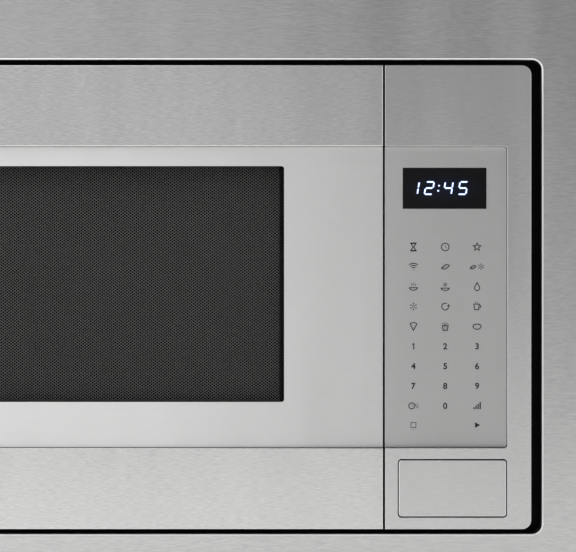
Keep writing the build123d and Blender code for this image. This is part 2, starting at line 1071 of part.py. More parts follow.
with BuildPart() as lamp_bulb:
    bulb_start = bulb_end - bulb_l
    neck_x = bulb_end - bulb_neck_l
    ball_x = bulb_start + bulb_r
    with BuildSketch(Plane.XY.offset(lamp_z)):
        with BuildLine():
            Line((bulb_start, lamp_y), (bulb_end, lamp_y))
            Line((bulb_end, lamp_y), (bulb_end, lamp_y + bulb_neck_r))
            Line((bulb_end, lamp_y + bulb_neck_r), (neck_x, lamp_y + bulb_neck_r))
            Line((neck_x, lamp_y + bulb_neck_r), (ball_x, lamp_y + bulb_r))
            RadiusArc((ball_x, lamp_y + bulb_r), (bulb_start, lamp_y), -bulb_r)
        make_face()
    revolve(axis=Axis((0, lamp_y, lamp_z), (1, 0, 0)))
save(lamp_bulb.part, "lamp_bulb")

# Inverter: moulded tray, circuit board, transformer and heat sink
tray_x0 = cavity_wall_x + inverter_side
tray_x1 = body_right - inverter_right_gap
inverter_bottom = body_bottom + sheet_t
inverter_z = inverter_bottom + inverter_h
inverter_front_y = bay_y + inverter_setback
inverter_back_y = inverter_front_y + inverter_l
inverter_mid_x = (tray_x0 + tray_x1) / 2
inverter_mid_y = (inverter_front_y + inverter_back_y) / 2
inverter_board_z = inverter_z + board_rise
inverter_post_pitch_x = tray_x1 - tray_x0 - 2 * inverter_post_inset
inverter_post_pitch_y = inverter_l - 2 * inverter_post_inset
part_z = inverter_board_z + board_t
with BuildPart() as inverter_tray:
    block(tray_x0, tray_x1, inverter_front_y, inverter_back_y, inverter_bottom, inverter_z)
    block(
        tray_x0 + inverter_wall,
        tray_x1 - inverter_wall,
        inverter_front_y + inverter_wall,
        inverter_back_y - inverter_wall,
        inverter_bottom + inverter_wall,
        inverter_z,
        mode=Mode.SUBTRACT,
    )
    with Locations((inverter_mid_x, inverter_mid_y, (inverter_bottom + inverter_board_z) / 2)):
        with GridLocations(inverter_post_pitch_x, inverter_post_pitch_y, 2, 2):
            Cylinder(inverter_post_r, inverter_board_z - inverter_bottom)
save(inverter_tray.part, "inverter_tray")

with BuildPart() as inverter_board:
    block(
        tray_x0 + inverter_wall,
        tray_x1 - inverter_wall,
        inverter_front_y + inverter_wall,
        inverter_back_y - inverter_wall,
        inverter_board_z,
        part_z,
    )
    for x, y, radius, height in capacitors:
        rod_z(inverter_mid_x + x, inverter_front_y + y, part_z, part_z + height, radius)
save(inverter_board.part, "inverter_board")

core_x0 = tray_x0 + core_side
core_y0 = inverter_front_y + core_front
with BuildPart() as hv_transformer:
    for z0 in (part_z, part_z + core_h - core_plate_t):
        block(core_x0, core_x0 + core_w, core_y0, core_y0 + core_d, z0, z0 + core_plate_t)
    for leg_y in (core_y0, core_y0 + core_d - core_plate_t):
        block(
            core_x0 + core_leg_inset,
            core_x0 + core_w - core_leg_inset,
            leg_y,
            leg_y + core_plate_t,
            part_z,
            part_z + core_h,
        )
    rod_z(core_x0 + core_w / 2, core_y0 + core_d / 2, part_z, part_z + core_h, winding_r)
save(hv_transformer.part, "hv_transformer")

sink_x0 = core_x0 + core_w + sink_gap
sink_y0 = inverter_front_y + sink_front
sink_fin_pitch = (sink_w - sink_fin_t) / (sink_fins - 1)
with BuildPart() as heat_sink:
    block(sink_x0, sink_x0 + sink_w, sink_y0, sink_y0 + sink_d, part_z, part_z + sink_base_t)
    for index in range(sink_fins):
        fin_x = sink_x0 + index * sink_fin_pitch
        block(fin_x, fin_x + sink_fin_t, sink_y0, sink_y0 + sink_d, part_z, part_z + sink_h)
save(heat_sink.part, "heat_sink")

# Cooling fan: shroud, motor on four legs, and blade wheel with its shaft
shroud_x0 = cavity_wall_x + shroud_side
shroud_x1 = body_right - sheet_t
shroud_back_y = fan_y + shroud_depth
shroud_bottom = fan_z - fan_r - shroud_below
motor_y0 = shroud_back_y + shroud_t + motor_gap
motor_y1 = motor_y0 + motor_l
fan_hole_r = fan_r + fan_tip_gap
with BuildPart() as fan_shroud:
    block(
        shroud_x0,
        shroud_x1,
        shroud_back_y,
        shroud_back_y + shroud_t,
        shroud_bottom,
        body_top - sheet_t,
    )
    rod_y(fan_x, fan_y - shroud_front, shroud_back_y, fan_z, fan_hole_r + shroud_t)
    rod_y(fan_x, fan_y - shroud_front, shroud_back_y + shroud_t, fan_z, fan_hole_r, mode=Mode.SUBTRACT)
save(fan_shroud.part, "fan_shroud")

motor_half = fan_hole_r + motor_leg
strap_z0 = fan_z - motor_strap_half_h
strap_z1 = fan_z + motor_strap_half_h
with BuildPart() as fan_motor:
    block(
        fan_x - motor_half_w,
        fan_x + motor_half_w,
        motor_y0,
        motor_y1,
        fan_z - motor_half_h,
        fan_z + motor_half_h,
    )
    rod_y(fan_x, motor_y0 - motor_nose_l, motor_y1 + motor_cap_l, fan_z, motor_nose_r)
    block(fan_x - motor_half, fan_x + motor_half, motor_y0, motor_y0 + motor_strap_t, strap_z0, strap_z1)
    for side in (-1, 1):
        leg_x = fan_x + side * (motor_half - motor_leg / 2)
        block(
            leg_x - motor_leg / 2,
            leg_x + motor_leg / 2,
            shroud_back_y + shroud_t,
            motor_y0,
            strap_z0,
            strap_z1,
        )
    rod_y(
        fan_x,
        motor_y0 - motor_nose_l,
        motor_y1,
        fan_z,
        fan_shaft_r + running,
        mode=Mode.SUBTRACT,
    )
save(fan_motor.part, "fan_motor")

blade_l = fan_r - fan_hub_r + blade_root
blade_mid_r = fan_r - blade_l / 2
with BuildPart() as fan_blade:
    rod_y(fan_x, fan_y, fan_y + fan_hub_l, fan_z, fan_hub_r)
    rod_y(fan_x, fan_y + fan_hub_l, motor_y1 - loose, fan_z, fan_shaft_r)
    for index in range(fan_blades):
        angle = math.radians(360 * index / fan_blades)
        blade_plane = Plane(
            origin=(fan_x, fan_y + fan_hub_l / 2, fan_z),
            x_dir=(math.cos(angle), 0, math.sin(angle)),
            z_dir=(0, -1, 0),
        )
        with Locations(blade_plane):
            with Locations((blade_mid_r, 0, 0)):
                Box(blade_l, blade_chord, blade_t, rotation=(blade_pitch, 0, 0))
save(fan_blade.part, "fan_blade")

# Air guide from the magnetron's front to the lamp side of the cavity
guide_x1 = body_right - guide_side
guide_y0 = lamp_y + lamp_half + guide_lamp_gap
guide_y1 = waveguide_y - waveguide_d / 2
guide_z0 = antenna_z - fin_half_h - guide_wall
guide_z1 = antenna_z + fin_half_h + guide_wall
with BuildPart() as air_guide:
    block(cavity_wall_x, guide_x1, guide_y0, guide_y1, guide_z0, guide_z1)
    block(
        cavity_wall_x,
        guide_x1 - guide_wall,
        guide_y0 + guide_wall,
        guide_y1,
        guide_z0 + guide_wall,
        guide_z1 - guide_wall,
        mode=Mode.SUBTRACT,
    )
save(air_guide.part, "air_guide")

# Turntable: motor under the floor, coupler, roller ring with three wheels, and glass tray
floor_under = cavity_floor - cavity_t
wheel_z = cavity_floor + loose + wheel_r
tray_bottom = wheel_z + wheel_r + loose
with BuildPart() as turntable_motor:
    rod_z(tray_x, tray_y, floor_under - turntable_motor_h, floor_under, turntable_motor_r)
    block(
        tray_x - turntable_motor_r - motor_ear_l,
        tray_x + turntable_motor_r + motor_ear_l,
        tray_y - motor_ear_half_w,
        tray_y + motor_ear_half_w,
        floor_under - sheet_t,
        floor_under,
    )
    rod_z(
        tray_x,
        tray_y,
        floor_under - turntable_motor_h + motor_bottom_t,
        floor_under,
        coupler_plug_r + running,
        mode=Mode.SUBTRACT,
    )
save(turntable_motor.part, "turntable_motor")

coupler_top = tray_bottom - loose
with BuildPart() as coupler:
    rod_z(tray_x, tray_y, cavity_floor - cavity_t + loose, coupler_top, coupler_hub_r)
    rod_z(tray_x, tray_y, floor_under - coupler_plug_l, coupler_top, coupler_plug_r)
    with Locations((tray_x, tray_y, coupler_top - coupler_arm_t / 2)):
        with PolarLocations(coupler_arm_reach / 2, 3, start_angle=90):
            Box(coupler_arm_reach, coupler_arm_w, coupler_arm_t)
save(coupler.part, "coupler")

axle_end = wheel_track_r + wheel_w / 2 + axle_past_wheel
with BuildPart() as roller_ring:
    with Locations((tray_x, tray_y, wheel_z)):
        Cylinder(ring_r + ring_w / 2, ring_h)
        Cylinder(ring_r - ring_w / 2, ring_h, mode=Mode.SUBTRACT)
        with PolarLocations((ring_r + axle_end) / 2, 3, start_angle=90):
            Cylinder(axle_r, axle_end - ring_r, rotation=(0, 90, 0))
        with PolarLocations(axle_end - axle_head_t / 2, 3, start_angle=90):
            Cylinder(axle_head_r, axle_head_t, rotation=(0, 90, 0))
save(roller_ring.part, "roller_ring")

for index in range(3):
    with BuildPart() as roller_wheel:
        with Locations((tray_x, tray_y, wheel_z)):
            with PolarLocations(wheel_track_r, 1, start_angle=90 + 120 * index):
                Cylinder(wheel_r, wheel_w, rotation=(0, 90, 0))
                Cylinder(wheel_bore_r, wheel_w, rotation=(0, 90, 0), mode=Mode.SUBTRACT)
        rim_edges = roller_wheel.edges().filter_by(GeomType.CIRCLE).group_by(SortBy.RADIUS)[-1]
        chamfer(rim_edges, length=wheel_chamfer)
    save(roller_wheel.part, f"roller_wheel_{index + 1}")

with BuildPart() as glass_tray:
    with BuildSketch(Plane.XZ.offset(-tray_y)):
        with BuildLine():
            Polyline(
                (tray_x, tray_bottom),
                (tray_x + tray_r - tray_rim_w, tray_bottom),
                (tray_x + tray_r, tray_bottom + tray_rim_h - tray_t),
                (tray_x + tray_r, tray_bottom + tray_rim_h),
                (tray_x + tray_r - tray_lip_t, tray_bottom + tray_rim_h),
                (tray_x + tray_r - tray_rim_w - tray_foot_slope, tray_bottom + tray_t),
                (tray_x, tray_bottom + tray_t),
                close=True,
            )
        make_face()
    revolve(axis=Axis((tray_x, tray_y, 0), (0, 0, 1)))
    with Locations((tray_x, tray_y, tray_bottom - lug_h / 2 + lug_sunk)):
        with PolarLocations(lug_track_r, 3, start_angle=30):
            Cylinder(lug_r, lug_h + 2 * lug_sunk)
save(glass_tray.part, "glass_tray")

# Hinge brackets: an arm through the front plate, a foot behind it and a pin into the door
with BuildPart() as hinge_brackets:
    for arm_z0, foot_sign in ((upper_arm_z0, -1), (lower_arm_z0, 1)):
        with BuildSketch(Plane.XY.offset(arm_z0)):
            with BuildLine():
                arm_half = hinge_arm_w / 2
                foot_back_of_arm = bay_y + hinge_foot_t
                Polyline(
                    (hinge_x - arm_half, hinge_y),
                    (hinge_x - arm_half, foot_back_of_arm),
                    (hinge_x + arm_half, foot_back_of_arm),
                    (hinge_x + arm_half, hinge_y),
                )
                ThreePointArc(
                    (hinge_x + arm_half, hinge_y),
                    (hinge_x, hinge_y - arm_half),
                    (hinge_x - arm_half, hinge_y),
                )
            make_face()
        extrude(amount=hinge_arm_t)
        arm_near = arm_z0 if foot_sign < 0 else arm_z0 + hinge_arm_t
        arm_far = arm_z0 + hinge_arm_t if foot_sign < 0 else arm_z0
        foot_end = arm_near + foot_sign * hinge_foot_h
        block(
            hinge_x - hinge_arm_w / 2,
            hinge_foot_x1,
            bay_y,
            bay_y + hinge_foot_t,
            min(foot_end, arm_far),
            max(foot_end, arm_far),
        )
        pin_end = arm_near + foot_sign * pin_l
        rod_z(hinge_x, hinge_y, min(arm_near, pin_end), max(arm_near, pin_end), pin_r)
    for z in hinge_screw_zs:
        rod_y(hinge_screw_x, bay_y, bay_y + hinge_foot_t, z, screw_hole_r, mode=Mode.SUBTRACT)
save(hinge_brackets.part, "hinge_brackets")

# Pan-head screws: six through the back panel, four holding the hinge feet
with BuildPart() as screws:
    for x, z in back_screw_places:
        rod_y(x, body_back_y - back_screw_l, body_back_y, z, screw_r)
        rod_y(x, body_back_y, body_back_y + screw_head_t, z, screw_head_r)
    for z in hinge_screw_zs:
        rod_y(hinge_screw_x, plate_y, bay_y + hinge_foot_t, z, screw_r)
        rod_y(
            hinge_screw_x,
            bay_y + hinge_foot_t,
            bay_y + hinge_foot_t + screw_head_t,
            z,
            screw_head_r,
        )
    screw_head_faces = screws.faces().filter_by(Axis.Y).group_by(Axis.Y)[-1]
    fillet(screw_head_faces.edges(), radius=screw_head_round)
save(screws.part, "screws")

# Latch housing behind the front plate, with the hooks' ledges, lever pin and spring peg
ledge_x1 = latch_x - arm_gap
ledge_y1 = hook_tip_y - barb_l - tip_slope
housing_top = upper_hook_z + housing_above
housing_bottom = lower_hook_z - housing_below
housing_depth = hook_reach + switch_gap + switch_d
housing_front_x1 = latch_slot_x1 + housing_edge
spring_x = housing_front_x1 - lug_half_w
lever_spring_y = lever_y + lever_spring_reach
lever_lug_z = lever_z - lug_drop
peg_z1 = lever_z - peg_drop
with BuildPart() as latch_housing:
    block(housing_x, housing_wall, bay_y, bay_y + housing_depth, housing_bottom, housing_top)
    block(housing_x, housing_front_x1, bay_y, bay_y + housing_t, housing_bottom, housing_top)
    for hook_z in (upper_hook_z, lower_hook_z):
        block(
            housing_wall,
            latch_slot_x1,
            bay_y,
            bay_y + housing_t,
            hook_z - barb_h - 2 * loose,
            hook_z + hook_h + latch_lift + 2 * loose,
            mode=Mode.SUBTRACT,
        )
        ledge_z1 = hook_z - barb_h - ledge_clear
        block(housing_wall, ledge_x1, ledge_y1 - ledge_l, ledge_y1, ledge_z1 - ledge_t, ledge_z1)
    rod_x(housing_wall, lever_end_x + pin_past_lever, lever_y, lever_z, lever_pin_r)
    block(
        housing_wall,
        spring_x + lever_spring_r,
        lever_spring_y - peg_half_w,
        lever_spring_y + peg_half_w,
        peg_z1 - peg_t,
        peg_z1,
    )
save(latch_housing.part, "latch_housing")

# Interlock switches on the housing, one behind each hook's tip
switch_x = housing_wall + switch_w / 2
with BuildPart() as interlock_switches:
    for hook_z in (upper_hook_z, lower_hook_z):
        switch_z = hook_z + hook_h / 2
        block(
            housing_wall,
            housing_wall + switch_w,
            switch_y0,
            switch_y0 + switch_d,
            switch_z - switch_h / 2,
            switch_z + switch_h / 2,
        )
        rod_y(
            switch_x,
            switch_y0,
            switch_y0 + plunger_seat + plunger_travel,
            switch_z,
            plunger_r + running,
            mode=Mode.SUBTRACT,
        )
        for terminal in (-1, 1):
            terminal_z = switch_z + terminal * terminal_pitch / 2
            block(
                switch_x - terminal_half_w,
                switch_x + terminal_half_w,
                switch_y0 + switch_d,
                switch_y0 + switch_d + terminal_l,
                terminal_z - terminal_t / 2,
                terminal_z + terminal_t / 2,
            )
save(interlock_switches.part, "interlock_switches")

for hook_z, place in ((upper_hook_z, "upper"), (lower_hook_z, "lower")):
    with BuildPart() as plunger:
        rod_y(switch_x, hook_tip_y + loose, switch_y0 + plunger_seat, hook_z + hook_h / 2, plunger_r)
    save(plunger.part, f"plunger_{place}")

# Opening lever: hub on the housing's pin, button arm, lift arm under the lower hook, spring lug
lift_x0 = latch_x + arm_gap
tip_z = lower_hook_z - barb_h - loose - lift_tip_r
tip_y = lever_y + lift_reach
with BuildPart() as opening_lever:
    rod_x(lift_x0, lever_end_x, lever_y, lever_z, lever_hub_r)
    block(
        stem_x - stem_w / 2,
        stem_x + stem_w / 2,
        lever_y - lever_arm_t / 2,
        lever_y + lever_arm_t / 2,
        stem_z - lever_arm_past,
        lever_z,
    )
    with BuildSketch(Plane.YZ.offset(lift_x0)):
        with BuildLine():
            lift_line = Line((lever_y, lever_z), (tip_y, tip_z))
        SlotArc(lift_line, 2 * lift_tip_r)
    extrude(amount=hook_x1 + lift_past_hook - lift_x0)
    block(
        spring_x - lug_half_w,
        spring_x + lug_half_w,
        lever_y,
        lever_spring_y + lug_past_spring,
        lever_lug_z,
        lever_lug_z + lug_t,
    )
    rod_x(lift_x0, lever_end_x, lever_y, lever_z, lever_pin_r + running, mode=Mode.SUBTRACT)
save(opening_lever.part, "opening_lever")


def coil(x, y, z0, z1, coil_r):
    """Coil spring along Z between two heights, in the part being built."""
    rise = z1 - z0 - 2 * spring_wire_r
    path = Helix(pitch=rise / spring_turns, height=rise, radius=coil_r, center=(x, y, z0 + spring_wire_r))
    with BuildSketch(Plane(origin=path @ 0, z_dir=path % 0)) as wire:
        Circle(spring_wire_r)
    sweep(wire.sketch, path=path, is_frenet=True)


lever_spring_top = lever_lug_z - loose
with BuildPart() as lever_spring:
    coil(spring_x, lever_spring_y, peg_z1 + loose, lever_spring_top, lever_spring_r)
save(lever_spring.part, "lever_spring")

# Release button: cap in the fascia and a stem that ends in a round nose at the lever
well_back_y = front_y + button_depth + button_travel + well_gap
nose_y = lever_y - lever_arm_t / 2 - loose
with BuildPart() as door_button:
    rounded_slab(
        button_x,
        button_z,
        button_w - 2 * button_gap,
        button_h - 2 * button_gap,
        button_corner_r - button_gap,
        front_y,
        front_y + button_depth,
    )
    rounded_slab(
        button_x,
        button_z,
        button_w - 2 * button_gap - 2 * button_wall,
        button_h - 2 * button_gap - 2 * button_wall,
        button_corner_r - button_gap,
        front_y + button_wall,
        front_y + button_depth,
        mode=Mode.SUBTRACT,
    )
    fillet(door_button.faces().sort_by(Axis.Y)[0].edges(), radius=edge_r)
    block(
        stem_x - stem_w / 2,
        stem_x + stem_w / 2,
        front_y + button_wall,
        nose_y - stem_w / 2,
        stem_z - stem_w / 2,
        stem_z + stem_w / 2,
    )
    rod_x(stem_x - stem_w / 2, stem_x + stem_w / 2, nose_y - stem_w / 2, stem_z, stem_w / 2)
save(door_button.part, "door_button")

# Control fascia: steel shell with the keypad recess and the button's opening
insert_w = insert_right - control_left
insert_mid_x = (insert_right + control_left) / 2
with BuildPart() as control_fascia:
    with BuildSketch(front_plane(front_y)) as fascia_outline:
        with Locations(((control_left + half_w) / 2, 0)):
            Rectangle(control_w, fascia_h)
        fillet(fascia_outline.vertices().group_by(Axis.X)[-1], radius=fascia_corner_r)
    extrude(amount=-return_depth)
    with BuildSketch(front_plane(front_y + skin_t)) as fascia_inner:
        with Locations(((control_left + half_w) / 2, 0)):
            Rectangle(control_w - 2 * skin_t, fascia_h - 2 * skin_t)
        fillet(fascia_inner.vertices().group_by(Axis.X)[-1], radius=fascia_corner_r - skin_t)
    extrude(amount=-return_depth, mode=Mode.SUBTRACT)
    with BuildSketch(front_plane(front_y)) as lip_outline:
        with Locations((insert_mid_x + skin_t / 2, 0)):
            Rectangle(insert_w + skin_t, 2 * mid_half + 2 * skin_t)
        fillet(lip_outline.vertices().group_by(Axis.X)[-1], radius=insert_corner_r + skin_t)
    extrude(amount=-mid_recess)
    with BuildSketch(front_plane(front_y)) as insert_outline:
        with Locations((insert_mid_x, 0)):
            Rectangle(insert_w, 2 * mid_half)
        fillet(insert_outline.vertices().group_by(Axis.X)[-1], radius=insert_corner_r)
    extrude(amount=-mid_recess, mode=Mode.SUBTRACT)
    block(
        control_left,
        control_left + skin_t,
        mid_y,
        return_y,
        -mid_half,
        mid_half,
        mode=Mode.SUBTRACT,
    )
    rounded_slab(
        button_x,
        button_z,
        button_w,
        button_h,
        button_corner_r,
        front_y,
        front_y + skin_t,
        mode=Mode.SUBTRACT,
    )
    fillet(control_fascia.faces().filter_by(Axis.Y).sort_by(Axis.Y)[0].edges(), radius=edge_r / 2)
save(control_fascia.part, "control_fascia")

# Keypad panel, recessed, with the display's hole and a left return
display_hole_w = display_w + 2 * running
display_hole_h = display_h + 2 * running
with BuildPart() as keypad_panel:
    with BuildSketch(front_plane(mid_y)) as keypad_outline:
        with Locations((insert_mid_x - panel_gap / 2, 0)):
            Rectangle(insert_w - panel_gap, 2 * mid_half - 2 * panel_gap)
        fillet(keypad_outline.vertices().group_by(Axis.X)[-1], radius=insert_corner_r)
    extrude(amount=-skin_t)
    block(
        control_left,
        control_left + skin_t,
        mid_y,
        return_y,
        -mid_half + panel_gap,
        mid_half - panel_gap,
    )
    block(
        display_x - display_hole_w / 2,
        display_x + display_hole_w / 2,
        mid_y,
        mid_y + skin_t,
        display_z - display_hole_h / 2,
        display_z + display_hole_h / 2,
        mode=Mode.SUBTRACT,
    )
save(keypad_panel.part, "keypad_panel")

with BuildPart() as display_window:
    block(
        display_x - display_w / 2,
        display_x + display_w / 2,
        mid_y,
        mid_y + display_t,
        display_z - display_h / 2,
        display_z + display_h / 2,
    )
save(display_window.part, "display_window")

# Control base: moulded tub behind the fascia, with board posts and the button's well
tub_x0 = control_left + skin_t + tub_gap
tub_x1 = half_w - skin_t - tub_gap
tub_half_h = half_h - skin_t - tub_gap
tub_front_y = front_y + skin_t
tub_mid_y = mid_y + skin_t
tub_inner_y = tub_mid_y + tub_wall
board_y = front_y + board_back
board_x = insert_mid_x + board_shift
board_w = insert_w - board_side
board_h = 2 * (mid_half - board_margin)
module_w = display_w - 2 * module_edge
module_h = display_h - 2 * module_edge
post_zs = (-board_h / 2 + board_post_inset, board_h / 2 - board_post_inset)
with BuildPart() as control_base:
    with BuildSketch(front_plane(tub_front_y)) as tub_outline:
        with Locations(((tub_x0 + tub_x1) / 2, 0)):
            Rectangle(tub_x1 - tub_x0, 2 * tub_half_h)
        fillet(tub_outline.vertices().group_by(Axis.X)[-1], radius=fascia_corner_r - skin_t)
    extrude(amount=-(plate_y - tub_front_y))
    block(
        tub_x0,
        insert_right + skin_t + tub_gap,
        tub_front_y,
        tub_mid_y,
        -mid_half - skin_t - tub_gap,
        mid_half + skin_t + tub_gap,
        mode=Mode.SUBTRACT,
    )
    block(
        tub_x0 + tub_wall,
        tub_x1 - tub_wall,
        tub_inner_y,
        plate_y,
        -tub_half_h + tub_wall,
        tub_half_h - tub_wall,
        mode=Mode.SUBTRACT,
    )
    rounded_slab(
        button_x,
        button_z,
        button_w + 2 * well_wall,
        button_h + 2 * well_wall,
        button_corner_r,
        tub_front_y,
        well_back_y + well_wall,
    )
    rounded_slab(
        button_x,
        button_z,
        button_w,
        button_h,
        button_corner_r,
        tub_front_y,
        well_back_y,
        mode=Mode.SUBTRACT,
    )
    block(
        stem_x - stem_w / 2 - loose,
        stem_x + stem_w / 2 + loose,
        well_back_y,
        well_back_y + well_wall,
        stem_z - stem_w / 2 - loose,
        stem_z + stem_w / 2 + loose,
        mode=Mode.SUBTRACT,
    )
    block(
        display_x - display_w / 2 - loose,
        display_x + display_w / 2 + loose,
        tub_mid_y,
        tub_inner_y,
        display_z - display_h / 2 - loose,
        display_z + display_h / 2 + loose,
        mode=Mode.SUBTRACT,
    )
    with Locations((board_x, 0, 0)):
        with GridLocations(board_w - 2 * board_post_inset, 1, 2, 1):
            for post_z in post_zs:
                with Locations((0, (tub_inner_y + board_y) / 2, post_z)):
                    Cylinder(board_post_r, board_y - tub_inner_y, rotation=(90, 0, 0))
    # Strip that closes the gap beside the door from behind
    block(
        frame_right + gap_strip_side,
        tub_x0 + tub_wall,
        frame_y + gap_strip_clear,
        frame_y + gap_strip_clear + gap_strip_t,
        -tub_half_h,
        tub_half_h,
    )
save(control_base.part, "control_base")

with BuildPart() as control_board:
    block(
        board_x - board_w / 2,
        board_x + board_w / 2,
        board_y,
        board_y + board_t,
        -board_h / 2,
        board_h / 2,
    )
    for x, z, width, height in relay_blocks:
        block(
            board_x + x,
            board_x + x + width,
            board_y + board_t,
            board_y + board_t + relay_h,
            z,
            z + height,
        )
save(control_board.part, "control_board")

with BuildPart() as display_module:
    block(
        display_x - module_w / 2,
        display_x + module_w / 2,
        mid_y + display_t + loose,
        board_y,
        display_z - module_h / 2,
        display_z + module_h / 2,
    )
save(display_module.part, "display_module")

# Door bands: folded steel skins above and below the middle panel
hinge_notch_x1 = hinge_x + ear_w / 2 + notch_gap
for side, place in ((1, "top"), (-1, "bottom")):
    with BuildPart() as band:
        band_mid_z = side * (mid_half + half_h) / 2
        inner_edge = side * mid_half
        with BuildSketch(front_plane(front_y)) as band_outline:
            with Locations((door_mid_x, band_mid_z)):
                Rectangle(door_right - door_left, band_h)
            outer_corner = band_outline.vertices().sort_by(Axis.X)[:2].sort_by(Axis.Y)
            fillet(outer_corner[-1] if side > 0 else outer_corner[0], radius=fascia_corner_r)
        extrude(amount=-return_depth)
        with BuildSketch(front_plane(front_y + skin_t)) as band_inner:
            with Locations((door_mid_x, band_mid_z)):
                Rectangle(door_right - door_left - 2 * skin_t, band_h - 2 * skin_t)
            inner_corner = band_inner.vertices().sort_by(Axis.X)[:2].sort_by(Axis.Y)
            fillet(inner_corner[-1] if side > 0 else inner_corner[0], radius=fascia_corner_r - skin_t)
        extrude(amount=-return_depth, mode=Mode.SUBTRACT)
        block(
            door_left,
            door_right,
            mid_y,
            return_y,
            min(inner_edge, inner_edge + side * skin_t),
            max(inner_edge, inner_edge + side * skin_t),
            mode=Mode.SUBTRACT,
        )
        arm_z0, arm_z1 = (upper_arm_z0, upper_arm_z1) if side > 0 else (lower_arm_z0, lower_arm_z1)
        block(
            door_left - skin_t,
            hinge_x - hinge_arm_w / 2,
            front_y + notch_front,
            return_y,
            arm_z0 - 2 * loose,
            arm_z1 + 2 * loose,
            mode=Mode.SUBTRACT,
        )
        fillet(band.faces().filter_by(Axis.Y).sort_by(Axis.Y)[0].edges(), radius=edge_r)
    save(band.part, f"door_band_{place}")

# Middle door panel with the window hole and side returns
with BuildPart() as door_front_panel:
    block(door_left, door_right, mid_y, mid_y + skin_t, -mid_half + panel_gap, mid_half - panel_gap)
    for x0 in (door_left, door_right - skin_t):
        block(x0, x0 + skin_t, mid_y, return_y, -mid_half + panel_gap, mid_half - panel_gap)
    rounded_slab(
        window_mid_x,
        window_mid_z,
        window_w,
        window_h,
        window_corner_r,
        mid_y,
        mid_y + skin_t,
        mode=Mode.SUBTRACT,
    )
save(door_front_panel.part, "door_front_panel")

# Window glass behind the panel
glass_y = mid_y + skin_t
with BuildPart() as door_glass:
    rounded_slab(
        window_mid_x,
        window_mid_z,
        window_w + 2 * glass_lap,
        window_h + 2 * glass_lap,
        window_corner_r,
        glass_y,
        glass_y + glass_t,
    )
save(door_glass.part, "door_glass")

# Door carrier: ribbed moulding that holds the skins and the glass
carrier_x0 = door_left + skin_t + tub_gap
carrier_x1 = door_right - skin_t - tub_gap
carrier_half_h = half_h - skin_t - tub_gap
carrier_front_y = front_y + skin_t
pocket_y = glass_y + carrier_wall
glass_pocket_w = window_w + 2 * glass_lap + 2 * loose
glass_pocket_h = window_h + 2 * glass_lap + 2 * loose
rim_w = glass_pocket_w + 2 * carrier_wall
rim_h = glass_pocket_h + 2 * carrier_wall
pocket_w = (carrier_x1 - carrier_x0 - 2 * carrier_wall - (pocket_columns - 1) * rib_t) / pocket_columns
with BuildPart() as door_carrier:
    with BuildSketch(front_plane(carrier_front_y)) as carrier_outline:
        with Locations(((carrier_x0 + carrier_x1) / 2, 0)):
            Rectangle(carrier_x1 - carrier_x0, 2 * carrier_half_h)
        fillet(carrier_outline.vertices().group_by(Axis.X)[0], radius=fascia_corner_r - skin_t)
    extrude(amount=-(frame_y - carrier_front_y))
    block(
        carrier_x0,
        carrier_x1,
        carrier_front_y,
        glass_y,
        -mid_half - skin_t - tub_gap,
        mid_half + skin_t + tub_gap,
        mode=Mode.SUBTRACT,
    )
    for z0, z1 in (
        (window_mid_z + rim_h / 2, carrier_half_h - carrier_wall),
        (-carrier_half_h + carrier_wall, window_mid_z - rim_h / 2),
    ):
        with BuildSketch(front_plane(frame_y)):
            with Locations(((carrier_x0 + carrier_x1) / 2, (z0 + z1) / 2)):
                with GridLocations(pocket_w + rib_t, 1, pocket_columns, 1):
                    Rectangle(pocket_w, z1 - z0)
        extrude(amount=frame_y - pocket_y, mode=Mode.SUBTRACT)
    for x0, x1 in (
        (carrier_x0 + carrier_wall, window_mid_x - rim_w / 2),
        (window_mid_x + rim_w / 2, carrier_x1 - carrier_wall),
    ):
        with BuildSketch(front_plane(frame_y)):
            with Locations(((x0 + x1) / 2, window_mid_z)):
                with GridLocations(1, rim_h / pocket_rows, 1, pocket_rows):
                    Rectangle(x1 - x0, rim_h / pocket_rows - rib_t)
        extrude(amount=frame_y - pocket_y, mode=Mode.SUBTRACT)
    rounded_slab(
        window_mid_x,
        window_mid_z,
        glass_pocket_w,
        glass_pocket_h,
        window_corner_r,
        glass_y,
        glass_y + glass_t + running,
        mode=Mode.SUBTRACT,
    )
    rounded_slab(
        window_mid_x,
        window_mid_z,
        window_w + 2 * carrier_hole_gap,
        window_h + 2 * carrier_hole_gap,
        window_corner_r,
        glass_y,
        frame_y,
        mode=Mode.SUBTRACT,
    )
    for z0, z1 in (
        (frame_top - ear_t - pin_l, half_h),
        (-half_h, frame_bottom + ear_t + pin_l),
    ):
        block(door_left, hinge_notch_x1, front_y + 2 * skin_t, frame_y, z0, z1, mode=Mode.SUBTRACT)
save(door_carrier.part, "door_carrier")

